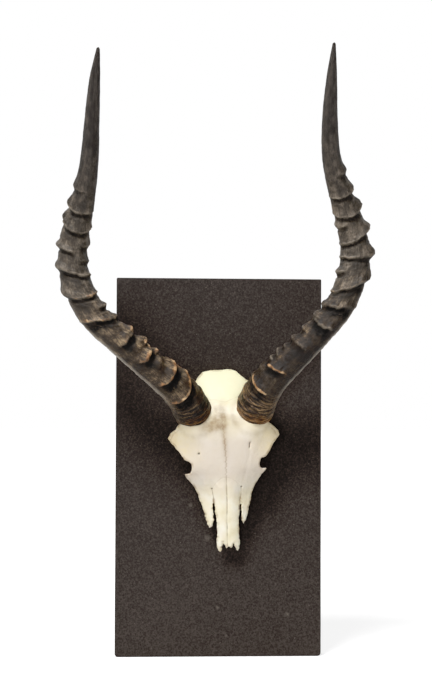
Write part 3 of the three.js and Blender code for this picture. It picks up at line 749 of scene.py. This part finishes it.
# %% Grow both horns
def grow(horn, side, node, given_values):
    modifier = horn.modifiers.new("ringed_horn", "NODES")
    modifier.node_group = horn_tree
    identifiers = {item.name: item.identifier for item in horn_tree.interface.items_tree
                   if item.in_out == "INPUT"}
    for name, value in {"Material": horn_finish, "Side": float(side), **given_values}.items():
        modifier[identifiers[name]] = value
    depsgraph = bpy.context.evaluated_depsgraph_get()
    mesh = bpy.data.meshes.new_from_object(
        horn.evaluated_get(depsgraph), preserve_all_data_layers=True, depsgraph=depsgraph)
    horn.modifiers.remove(modifier)
    horn.data = mesh
    if side < 0:
        mesh.flip_normals()
    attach(horn, "root")
    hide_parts(node)
    bpy.data.objects.remove(given_values["Rings"])
    print(horn.name, len(mesh.polygons), "faces", [m.name for m in mesh.materials])


grow(left_horn, -1, "horn_left", {"Rings": left_rings, "Seed": 3.0, "Painted Low Shade": 0.0})
# The right horn is painted darker low down, as painted shade, and its tone is lifted all over, as
# painted light.
grow(right_horn, 1, "horn_right", {
    "Rings": right_rings, "Seed": 8.0, "Painted Low Shade": 0.75, "Tint And Painted Light": 1.0})

# %% [markdown]
# ## The skull cap
#
# The skull cap is thin bone over the nose and brow, and the braincase roof behind the horns. It
# has no rule to follow, so it is built like a carving: a sheet cut to the outline, raised to the
# height of the bone, given its thickness and its walls, then remeshed into one even skin that
# finer marks can be pressed into.

# %% Heights of the bone
CROWN_LINE = [
    (-96, 16.5), (-84, 19.5), (-60, 27), (-40, 34), (-22, 40), (-6, 44.5),
    (12, 48), (30, 50), (48, 49.5), (64, 45), (80, 35), (95, 22.5), (112, 5)]
crown = smooth_line(CROWN_LINE, 8)
RIM_HEIGHT, BRAINCASE_HALF_WIDTH = 6, 36


def bone_front(u, v):
    across = np.abs(u)
    middle = np.interp(v, crown[:, 0], crown[:, 1])
    nose = ease(v, 5, -35)
    swelling = 5 * np.exp(-((across - 33) ** 2 + (v - 47) ** 2) / 14 ** 2)
    brow_drop = 6.5 * (across / 45) ** 2.2
    nose_drop = 0.062 * across ** 1.6
    spread = middle + swelling - brow_drop * (1 - nose) - nose_drop * nose
    roundness = np.sqrt(np.clip(1 - (across / BRAINCASE_HALF_WIDTH) ** 2, 0, 1))
    dome = RIM_HEIGHT + (middle - RIM_HEIGHT) * roundness
    share = ease(v, 56, 78)
    return np.maximum(RIM_HEIGHT, spread * (1 - share) + dome * share)


def bone_thickness(v):
    return 5.5 - 2.3 * ease(v, 5, -35)


print("height at the brow:", bone_front(0, 30), "and at the orbit rim:", bone_front(58, 34))

# %% [markdown]
# The outline is where saw and decay left the bone, so its edge is uneven, and splintered below.
# The noise that breaks it takes its seed from the clock unless one is set. It is set first, and
# every run breaks the bone in the same way.

# %% Outline of the bone
LEFT_SIDE = [
    (-10.5, 107.4), (-18.8, 106.2), (-23, 102), (-28, 95), (-32, 86), (-33.5, 76), (-36, 66),
    (-43, 56), (-50.6, 48.3), (-53.4, 44), (-58.9, 39.9), (-61.2, 35), (-59.2, 31.1), (-55, 27.1),
    (-53, 23.2), (-48.8, 18.7), (-44.8, 10.9), (-39.5, 9.1), (-37.2, 6.3), (-36.8, 1.9),
    (-38.7, -3.8), (-45.4, -4.4), (-43.4, -8.3), (-39.2, -12.9), (-34, -20.3), (-31, -27),
    (-29.1, -34.2), (-26.1, -43.9), (-23.6, -54), (-21.7, -61.4), (-20.1, -65.1), (-15.4, -62.3),
    (-15.2, -57), (-15.5, -50), (-15.9, -44), (-15.7, -39), (-14.6, -33.6)]
NASAL_ENDS = [
    (-13.9, -36.5), (-13, -46), (-12, -56.1), (-11, -62.8), (-10.9, -70.7), (-12.6, -84.1),
    (-11.6, -88.6), (-10.1, -92), (-8.1, -89.9), (-5.5, -80.7), (-2.6, -87.2), (-1.2, -88.2),
    (0.6, -86.1), (2, -88.4), (4.3, -87.2), (6.3, -81.4), (9.2, -90.3), (10.7, -91.8), (12, -89.2),
    (12.7, -83.1), (12.7, -75.2), (12.4, -66.3), (11.8, -58.4), (13.1, -51.8), (14, -40)]
RIGHT_SIDE = [
    (14.7, -32.4), (16, -39.4), (15.8, -47.1), (15.2, -53.8), (15.9, -58.3), (17.7, -62.9),
    (19.4, -58.5), (20.8, -58), (22.1, -52), (23.7, -45.4), (26.4, -36.6), (27.8, -30),
    (29.6, -23.4), (34.6, -14.3), (39.1, -8.4), (45, -1.4), (39.1, -1.7), (36.9, 0.6), (36.9, 4.9),
    (38.4, 9.8), (43, 10.6), (48.4, 17.4), (53.1, 25.9), (57.7, 30.6), (60, 33.8), (58.8, 38.8),
    (54.4, 43.4), (48.5, 47.8), (42, 56), (36, 66), (34, 76), (33.5, 86), (31, 93.6), (22.9, 99.5),
    (17.6, 105.3), (12.2, 107.5)]
CORE_SIDE = [(34, 72), (37, 60), (38, 50), (31, 40), (26, 22), (25, 6), (27, -8), (22, -26),
             (12, -42), (8, -58)]
OUTLINE_STEP = 0.7
UNEVEN_BY, SPLINTERED_BY, RAGGED_SEED = 0.5, 1.3, 5


def even_steps(points, step):
    points = np.array(points)
    lengths = np.concatenate([[0], np.cumsum(np.linalg.norm(np.diff(points, axis=0), axis=1))])
    at = np.linspace(0, lengths[-1], max(2, round(lengths[-1] / step)))
    return np.stack([np.interp(at, lengths, points[:, axis]) for axis in range(2)], axis=1)


def ragged(points, amount, more_below):
    moved = np.array([noise.noise_vector(Vector((u * 0.35, v * 0.35, 7.0)))[:2] for u, v in points])
    bitten = np.array([noise.noise_vector(Vector((u * 0.7, v * 0.7, 3.0)))[:2] for u, v in points])
    broken = ease(points[:, 1], -30, -45)[:, None] * more_below
    return points + amount * moved + broken * bitten


noise.seed_set(RAGGED_SEED)
corners = LEFT_SIDE + NASAL_ENDS + RIGHT_SIDE
outline = even_steps(corners + corners[:1], OUTLINE_STEP)[:-1]
outline = ragged(outline, UNEVEN_BY, SPLINTERED_BY)
core_outline = np.array([(-u, v) for u, v in CORE_SIDE] + CORE_SIDE[::-1], float)
print("outline points:", len(outline))

# %% [markdown]
# Distances to a line are needed again and again: to round the rim of the sheet, to find where the
# walls stand, and later to press in the seams. One function measures from many points to one
# line of straight steps.

# %% Distances and the sheet
def distance_to_line(points, line, closed=False):
    line = np.array(line, float)
    ends = np.roll(line, -1, axis=0) if closed else line[1:]
    starts = line if closed else line[:-1]
    nearest = np.full(len(points), np.inf)
    for start, end in zip(starts, ends):
        step = end - start
        share = np.clip((points - start) @ step / max(step @ step, 1e-9), 0, 1)
        nearest = np.minimum(nearest, np.linalg.norm(points - start - share[:, None] * step, axis=1))
    return nearest


def inside(points, polygon):
    crossings = np.zeros(len(points), bool)
    for (u0, v0), (u1, v1) in zip(polygon, np.roll(polygon, -1, axis=0)):
        spans = (v0 > points[:, 1]) != (v1 > points[:, 1])
        slope = (u1 - u0) / (v1 - v0 if v1 != v0 else 1e-9)
        crossings ^= spans & (points[:, 0] < u0 + slope * (points[:, 1] - v0))
    return crossings


GRID_STEP, GRID_MARGIN = 1.25, 0.6
grid = np.array([(u, v) for u in np.arange(-63, 63, GRID_STEP)
                 for v in np.arange(-95, 109, GRID_STEP)])
grid = grid[inside(grid, outline)]
grid = grid[distance_to_line(grid, outline, closed=True) > GRID_MARGIN]
loose = [Vector(point) for point in np.vstack([outline, grid]).tolist()]
rim = list(range(len(outline)))
edges = [(i, (i + 1) % len(rim)) for i in rim]
sheet_points, _, sheet_faces, *_ = delaunay_2d_cdt(loose, edges, [rim], 1, 1e-6)
flat = np.array([point[:] for point in sheet_points])
print("sheet:", len(flat), "points", len(sheet_faces), "faces")

# %% Raise the sheet and give it walls
WALL_GAP = 0.3
SOLID_BACK_ABOVE = 64
RIM_ROUNDING = 0.8


def rounded(depth, radius):
    share = np.clip(depth / radius, 0, 1)
    return radius * (1 - np.sqrt(1 - (1 - share) ** 2))


def raise_sheet():
    u, v = flat[:, 0], flat[:, 1]
    front = bone_front(u, v)
    walls = distance_to_line(flat, core_outline, closed=True)
    walls = walls * np.where(inside(flat, core_outline), 1, -1)
    solid = np.maximum(ease(walls, -1.5, 2.5), ease(v, SOLID_BACK_ABOVE - 2, SOLID_BACK_ABOVE + 1))
    thin_back = np.maximum(WALL_GAP, front - bone_thickness(v))
    back = thin_back * (1 - solid) + WALL_GAP * solid
    from_rim = distance_to_line(flat, outline, closed=True)
    radius = np.minimum(RIM_ROUNDING, (front - back) / 2.2)
    curve = rounded(from_rim, radius)
    return front - curve, np.minimum(back + curve * (1 - solid), front - curve)


front_height, back_height = raise_sheet()
border = {}
for face in sheet_faces:
    for a, b in zip(face, face[1:] + face[:1]):
        border[(a, b)] = border.get((a, b), 0) + 1
border = [(a, b) for a, b in border if (b, a) not in border]
print("rim edges:", len(border), "highest bone:", round(float(front_height.max()), 1), "mm")


# %% Close the sheet into one body
def on_board(u, height, v):
    turned_u = u * math.cos(SKULL_TURN) - v * math.sin(SKULL_TURN)
    turned_v = v * math.cos(SKULL_TURN) + u * math.sin(SKULL_TURN)
    return ((SKULL_MIDDLE_X + turned_u) * MM, -(BOARD_THICKNESS + height) * MM, turned_v * MM)


def make_bone_body():
    number = len(flat)
    points = [on_board(u, h, v) for (u, v), h in zip(flat, front_height)]
    points += [on_board(u, h, v) for (u, v), h in zip(flat, back_height)]
    faces = [tuple(face) for face in sheet_faces]
    faces += [tuple(index + number for index in reversed(face)) for face in sheet_faces]
    faces += [(b, a, a + number, b + number) for a, b in border]
    mesh = bpy.data.meshes.new("skull_cap")
    mesh.from_pydata(points, [], faces)
    return mesh


PEDICLE_RATIO, PEDICLE_LENGTH, PEDICLE_SIDES = 0.93, 18, 40


def add_pedicle(shape, stations, side):
    foot, head = (Vector(on_board(side * out, above, up)) for out, above, up, width in stations[:2])
    axis = (head - foot).normalized()
    radius = stations[0][3] / 2 * PEDICLE_RATIO * MM
    turn = axis.to_track_quat("Z", "Y").to_matrix().to_4x4()
    centre = foot - axis * (PEDICLE_LENGTH / 2 - 1.5) * MM
    bmesh.ops.create_cone(
        shape, cap_ends=True, segments=PEDICLE_SIDES, radius1=radius * 0.96, radius2=radius,
        depth=PEDICLE_LENGTH * MM, matrix=Matrix.Translation(centre) @ turn)


def skin_over(mesh, voxel, smoothing):
    body = bmesh.new()
    body.from_mesh(mesh)
    add_pedicle(body, LEFT_AXIS, -1)
    add_pedicle(body, RIGHT_AXIS, 1)
    bmesh.ops.recalc_face_normals(body, faces=body.faces)
    body.to_mesh(mesh)
    body.free()
    piece = mesh_object("skull_cap", mesh)
    remesh = piece.modifiers.new("skin", "REMESH")
    remesh.mode = "VOXEL"
    remesh.voxel_size = voxel * MM
    relax = piece.modifiers.new("relax", "SMOOTH")
    relax.factor = 0.5
    relax.iterations = smoothing
    depsgraph = bpy.context.evaluated_depsgraph_get()
    skin = bpy.data.meshes.new_from_object(piece.evaluated_get(depsgraph), depsgraph=depsgraph)
    piece.modifiers.clear()
    piece.data = skin
    return piece


# A finer step would give more than 200,000 triangles.
SKIN_STEP, RELAX_ROUNDS = 0.77, 2
skull = skin_over(make_bone_body(), SKIN_STEP, RELAX_ROUNDS)
print("bone skin:", len(skull.data.polygons), "faces")

# %% [markdown]
# The marks of a real skull come next: the seams where its bones have grown together, the holes
# where nerves and vessels came through the brow, the two long nose bones that are each a little
# round, and the raised rims of the eye sockets. Each mark is a line, and the skin is pressed in
# by how near it is. The same nearness is kept as an attribute, so the finish can stain the seams
# and darken the holes with painted shade.

# %% Marks on the bone
FRONTAL_SEAM = [(-2.5, 56), (-1.6, 42), (-0.6, 26), (-0.1, 12), (-0.5, -9)]
NASAL_SEAM = [(-0.5, -9), (-0.2, -35), (-0.8, -60), (-0.6, -86)]
NASAL_ARCH = [(-16.3, -21.5), (-11.8, -15.1), (-6.3, -10.4), (-0.4, -9), (5.6, -11),
              (11, -15.1), (15.8, -20.9)]
NASAL_SIDES = [[(-16.3, -21.5), (-15, -30), (-14.6, -36)], [(15.8, -20.9), (15.7, -28.6), (14.9, -34)]]
CORONAL_SEAM = [(-22, 80), (-14.5, 75), (-8, 75), (-2.7, 73), (2.6, 72), (8.2, 74),
                (13.9, 76), (22, 80)]
BROW_GROOVES = [[(26.7, 28), (26, 17), (24, 10), (21.4, -3), (18.8, -15)],
                [(-28.4, 27), (-29.1, 17.4), (-27, 4), (-22, -12)]]
BROW_HOLES = [(-29.1, 17.4, 1), (-16.5, -21.6, 0.7), (16.3, -20.8, 0.8)]
BROW_SLIT = [(26.8, 27), (26.4, 24.5), (26.1, 21.5)]
RIM_LINES = [[(-59, 33.3), (-55.6, 39.7), (-50.1, 43.9)], [(57, 33), (54.5, 39), (49, 43.5)]]
# Painted horn shadow over brown stain: across, up, the stretch each way, size and strength.
STAINS_AND_SHADOWS = [(-16, 47, 1, 1.7, 13, 0.95), (-4, 57, 1.3, 0.7, 11, 0.95), (14, 52, 1, 1.3, 9, 0.5)]
HORN_SEAT, SEAT_SHADOW_RADIUS = (31, 58), 22


def near(points, line, width):
    return np.exp(-(distance_to_line(points, line) / width) ** 2)


def press_marks(piece):
    mesh = piece.data
    number = len(mesh.vertices)
    place = np.zeros(number * 3)
    mesh.vertices.foreach_get("co", place)
    place = place.reshape(-1, 3)
    normal = np.zeros(number * 3)
    mesh.vertex_normals.foreach_get("vector", normal)
    normal = normal.reshape(-1, 3)
    x, z = place[:, 0] / MM - SKULL_MIDDLE_X, place[:, 2] / MM
    u = x * math.cos(SKULL_TURN) + z * math.sin(SKULL_TURN)
    v = z * math.cos(SKULL_TURN) - x * math.sin(SKULL_TURN)
    flat_place = np.stack([u, v], axis=1)
    facing = ease(-normal[:, 1], 0.15, 0.6)
    jagged = flat_place + np.stack([0.5 * np.sin(v * 1.9) + 0.4 * np.sin(v * 0.9 + 1), 0 * v], axis=1)
    bold = np.maximum.reduce([near(flat_place, line, 0.6) for line in [NASAL_SEAM, *NASAL_SIDES]])
    bold = np.maximum(bold, 0.8 * near(jagged, FRONTAL_SEAM, 0.8))
    faint = np.maximum.reduce([near(flat_place, line, 0.6) for line in [NASAL_ARCH, CORONAL_SEAM]])
    seams = np.maximum(bold, 0.45 * faint)
    grooves = np.maximum.reduce([near(flat_place, line, 2.2) for line in BROW_GROOVES])
    from_rim = distance_to_line(flat_place, outline, closed=True)
    holes = np.zeros(number)
    for hole_u, hole_v, size in BROW_HOLES:
        holes = np.maximum(holes, np.exp(-(np.hypot(u - hole_u, (v - hole_v) * 0.8) / size) ** 2))
    holes = np.maximum(holes, 0.8 * near(flat_place, BROW_SLIT, 0.55))
    rims = np.maximum.reduce([near(flat_place, line, 0.9) for line in RIM_LINES])
    nose = ease(v, -10, -22) * (np.abs(u) < 15)
    vault = nose * 1.3 * np.clip(1 - ((np.abs(u) - 6.8) / 7.2) ** 2, 0, 1)
    temple = 1.4 * np.exp(-((np.abs(u) - 44) ** 2 / 90 + (v - 26) ** 2 / 160))
    slow = np.array([noise.fractal(Vector(p) / (14 * MM), 1.0, 2.0, 3) for p in place])
    fine = np.array([noise.fractal(Vector(p) / (2.4 * MM), 1.0, 2.0, 2) for p in place])
    push = vault - temple - 0.35 * seams - 0.35 * grooves - 2.6 * holes - 0.3 * rims
    push = push * facing + 0.35 * slow + 0.12 * fine
    mesh.vertices.foreach_set("co", (place + normal * (push * MM)[:, None]).ravel())
    shade = 0.5 * near(flat_place, FRONTAL_SEAM, 3.5) * ease(v, -4, 30) + 0.3 * ease(np.abs(u), 46, 60)
    for at_u, at_v, wide, high, size, strength in STAINS_AND_SHADOWS:
        away = np.hypot((u - at_u) * wide, (v - at_v) * high)
        shade += strength * np.exp(-(away / size) ** 2)
    # Painted shadow: a thin dark ring on the bone around each horn base.
    from_seat = np.hypot(np.abs(u) - HORN_SEAT[0], v - HORN_SEAT[1]) - SEAT_SHADOW_RADIUS
    shade = np.clip(shade + 0.2 * np.exp(-(from_seat / 3) ** 2), 0, 1)
    marks = {"seam": np.maximum(seams, 0.6 * rims), "hole": holes, "stain_and_shade": shade * facing,
             "up": v, "across": u, "rim": ease(from_rim, 2.6, 0.6)}
    for key, value in marks.items():
        mesh.attributes.new(key, "FLOAT", "POINT").data.foreach_set("value", value)
    for polygon in mesh.polygons:
        polygon.use_smooth = True
    mesh.update()


press_marks(skull)
print("marks:", [a.name for a in skull.data.attributes][:12])

# %% [markdown]
# Bleached bone is almost white and a little waxy. It is creamy over the braincase, lilac-grey over
# the thick brow, warm and mottled towards the eye sockets, and brown along the seams, in old
# stains and on raw edges. Below the horn bases it carries painted shadow of the horns, and its
# holes are painted dark as painted shade. Light goes a short way into it. Its surface is full of
# pores a few tenths of a millimetre wide, drawn here about one millimetre apart. As on the horn,
# one loop lays the shares and colours over each other.

# %% Bone finish
def make_bone_finish():
    material, tree = new_material("bleached_dry_bone")
    place = add(tree, "ShaderNodeTexCoord").outputs["Object"]
    mark = {key: add(tree, ATTRIBUTE, attribute_name=key).outputs["Fac"]
            for key in ("seam", "hole", "stain_and_shade", "up", "across", "rim")}
    cloud = add(tree, NOISE, {"Vector": place, "Scale": 55, "Detail": 4})
    pores = add(tree, NOISE, {"Vector": place, "Scale": 900, "Detail": 3})
    patch = add(tree, NOISE, {"Vector": place, "Scale": 160, "Detail": 5, "Roughness": 0.6})
    bone = add(tree, RAMP, (cloud,), [(0.3, "#eadeba"), (0.5, "#f4eace"), (0.7, "#fbf5e2")])
    vault = add(tree, RANGE, (mark["up"], 68, 77, 0.0, 0.95))

    brow = add(tree, RANGE, (mark["up"], 60, 28, 0.0, 0.85))
    nose = add(tree, RANGE, (mark["up"], -40, -5))
    lilac_share = add(tree, MATH, (brow, nose), operation="MULTIPLY")

    aside = add(tree, MATH, (mark["across"],), operation="ABSOLUTE")
    ends = add(tree, RANGE, (aside, 22, 52, 0.0, 0.75))
    above = add(tree, RANGE, (mark["up"], 0, 22))
    ends = add(tree, MATH, (ends, above), operation="MULTIPLY")
    mottled = add(tree, RANGE, (patch, 0.34, 0.6, 0.55, 1.25))
    ends = add(tree, MATH, (ends, mottled), operation="MULTIPLY")

    blot = add(tree, RANGE, (patch, 0.3, 0.7, 0.45, 0.9))
    # The brown stains here also carry painted shadow under the horn bases.
    stain_and_shade_share = add(tree, MATH, (mark["stain_and_shade"], blot), operation="MULTIPLY")

    broken = add(tree, RANGE, (patch, 0.38, 0.56, 0.25, 1.0))
    seam_share = add(tree, RANGE, (mark["seam"], 0.2, 0.9, 0.0, 0.7))
    seam_share = add(tree, MATH, (seam_share, broken), operation="MULTIPLY")

    raw_edge = add(tree, RANGE, (patch, 0.46, 0.6, 0.0, 0.55))
    raw_edge = add(tree, MATH, (mark["rim"], raw_edge), operation="MULTIPLY")

    # Painted shade: the holes are painted dark brown, as shade inside them.
    hole_shade_share = add(tree, RANGE, (mark["hole"], 0.25, 0.8))
    layers = [
        (vault, "#efebc6"), (lilac_share, "#d1c4b6"), (ends, "#ddcda6"), (stain_and_shade_share, "#8a7150"),
        (seam_share, "#86694a"), (raw_edge, "#9a7f5c"), (hole_shade_share, "#3c3128")]
    for share, hex_code in layers:
        bone = add(tree, MIX, (share, bone, linear(hex_code)), data_type="RGBA")

    bump = add(tree, "ShaderNodeBump", {"Height": pores, "Strength": 0.3, "Distance": 0.0004})
    shader = add(tree, "ShaderNodeBsdfPrincipled", {
        "Base Color": bone, "Normal": bump, "Roughness": 0.55, "IOR": 1.5,
        "Subsurface Weight": 0.12, "Subsurface Radius": (0.004, 0.003, 0.002), "Subsurface Scale": 0.5})
    add(tree, "ShaderNodeOutputMaterial", {"Surface": shader})
    return material


skull.data.materials.clear()
skull.data.materials.append(make_bone_finish())
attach(skull, "root")
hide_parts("skull")
print("skull dressed")

# %% [markdown]
# ## Floor and light
#
# The trophy stands on a white studio floor. The sky is white to the camera, but lights the part
# mostly from behind, which leaves the front to the lamps. A broad lamp at the upper left gives
# the soft shadow to the right of the skull, a weak one low down lifts the foot of the board, and
# a weaker one at the right fills the shadow. The floor glows a little to the camera, so that it
# stays white around a thin shadow. The view's curve answers the dark tones as film does: blacks
# stay deep and rise fast.

# %% Floor, sky and lamps
FLOOR_GLOW = 0.57
SKY_IN_FRONT, SKY_BEHIND = 0.03, 0.9
LAMPS = [
    ("high_left_lamp", (-0.9, -1.75, 2.2), (0, -0.05, 0.05), 1.0, 80),
    ("low_left_lamp", (-0.5, -2.2, -0.05), (0, -0.05, -0.25), 0.6, 9),
    ("high_right_lamp", (0.75, -1.9, 1.5), (0, -0.05, 0.05), 0.8, 4)]
FILM_RESPONSE = [(0.024, 0.008), (0.06, 0.048), (0.2, 0.21), (0.6, 0.64)]


def make_floor():
    shape = bmesh.new()
    bmesh.ops.create_grid(shape, x_segments=1, y_segments=1, size=12)
    bmesh.ops.translate(shape, verts=shape.verts, vec=(0, 0, -BOARD_HEIGHT / 2 * MM))
    mesh = bpy.data.meshes.new("studio_floor")
    shape.to_mesh(mesh)
    shape.free()
    floor = mesh_object("studio_floor", mesh)
    material, tree = new_material("white_studio_floor")
    seen = add(tree, "ShaderNodeLightPath").outputs["Is Camera Ray"]
    place = add(tree, "ShaderNodeTexCoord").outputs["Object"]
    away = add(tree, VECTOR, (place,), operation="LENGTH")
    glow = add(tree, RANGE, (away, 0.45, 1.1, FLOOR_GLOW, 1.0))
    glow = add(tree, MATH, (seen, glow), operation="MULTIPLY")
    shader = add(tree, "ShaderNodeBsdfPrincipled", {
        "Base Color": linear("#dcdcdc"), "Roughness": 1, "Specular IOR Level": 0,
        "Emission Color": linear("#ffffff"), "Emission Strength": glow})
    add(tree, "ShaderNodeOutputMaterial", {"Surface": shader})
    mesh.materials.append(material)
    return floor


def add_lamp(name, place, target, size, power):
    data = bpy.data.lights.new(name, "AREA")
    data.shape = "DISK"
    data.size = size
    data.energy = power
    lamp = bpy.data.objects.new(name, data)
    bpy.context.scene.collection.objects.link(lamp)
    lamp.location = place
    lamp.rotation_euler = (Vector(target) - Vector(place)).to_track_quat("-Z", "Y").to_euler()
    return lamp


make_floor()
world = bpy.data.worlds.new("white_sky")
bpy.context.scene.world = world
world.use_nodes = True
sky = world.node_tree
sky.nodes.clear()
direction = add(sky, "ShaderNodeTexCoord").outputs["Generated"]
towards = add(sky, "ShaderNodeSeparateXYZ", (direction,)).outputs["Y"]
light = add(sky, RANGE, (towards, -0.3, 0.5, SKY_IN_FRONT, SKY_BEHIND))
seen = add(sky, "ShaderNodeLightPath").outputs["Is Camera Ray"]
strength = add(sky, MATH, (light, seen), operation="MAXIMUM")
background = add(sky, "ShaderNodeBackground", {"Color": linear("#ffffff"), "Strength": strength})
add(sky, "ShaderNodeOutputWorld", {"Surface": background})
for lamp in LAMPS:
    add_lamp(*lamp)
view = bpy.context.scene.view_settings
view.view_transform = "Standard"
view.use_curve_mapping = True
response = view.curve_mapping.curves[3]
for scene_light, film_light in FILM_RESPONSE:
    response.points.new(scene_light, film_light)
view.curve_mapping.update()
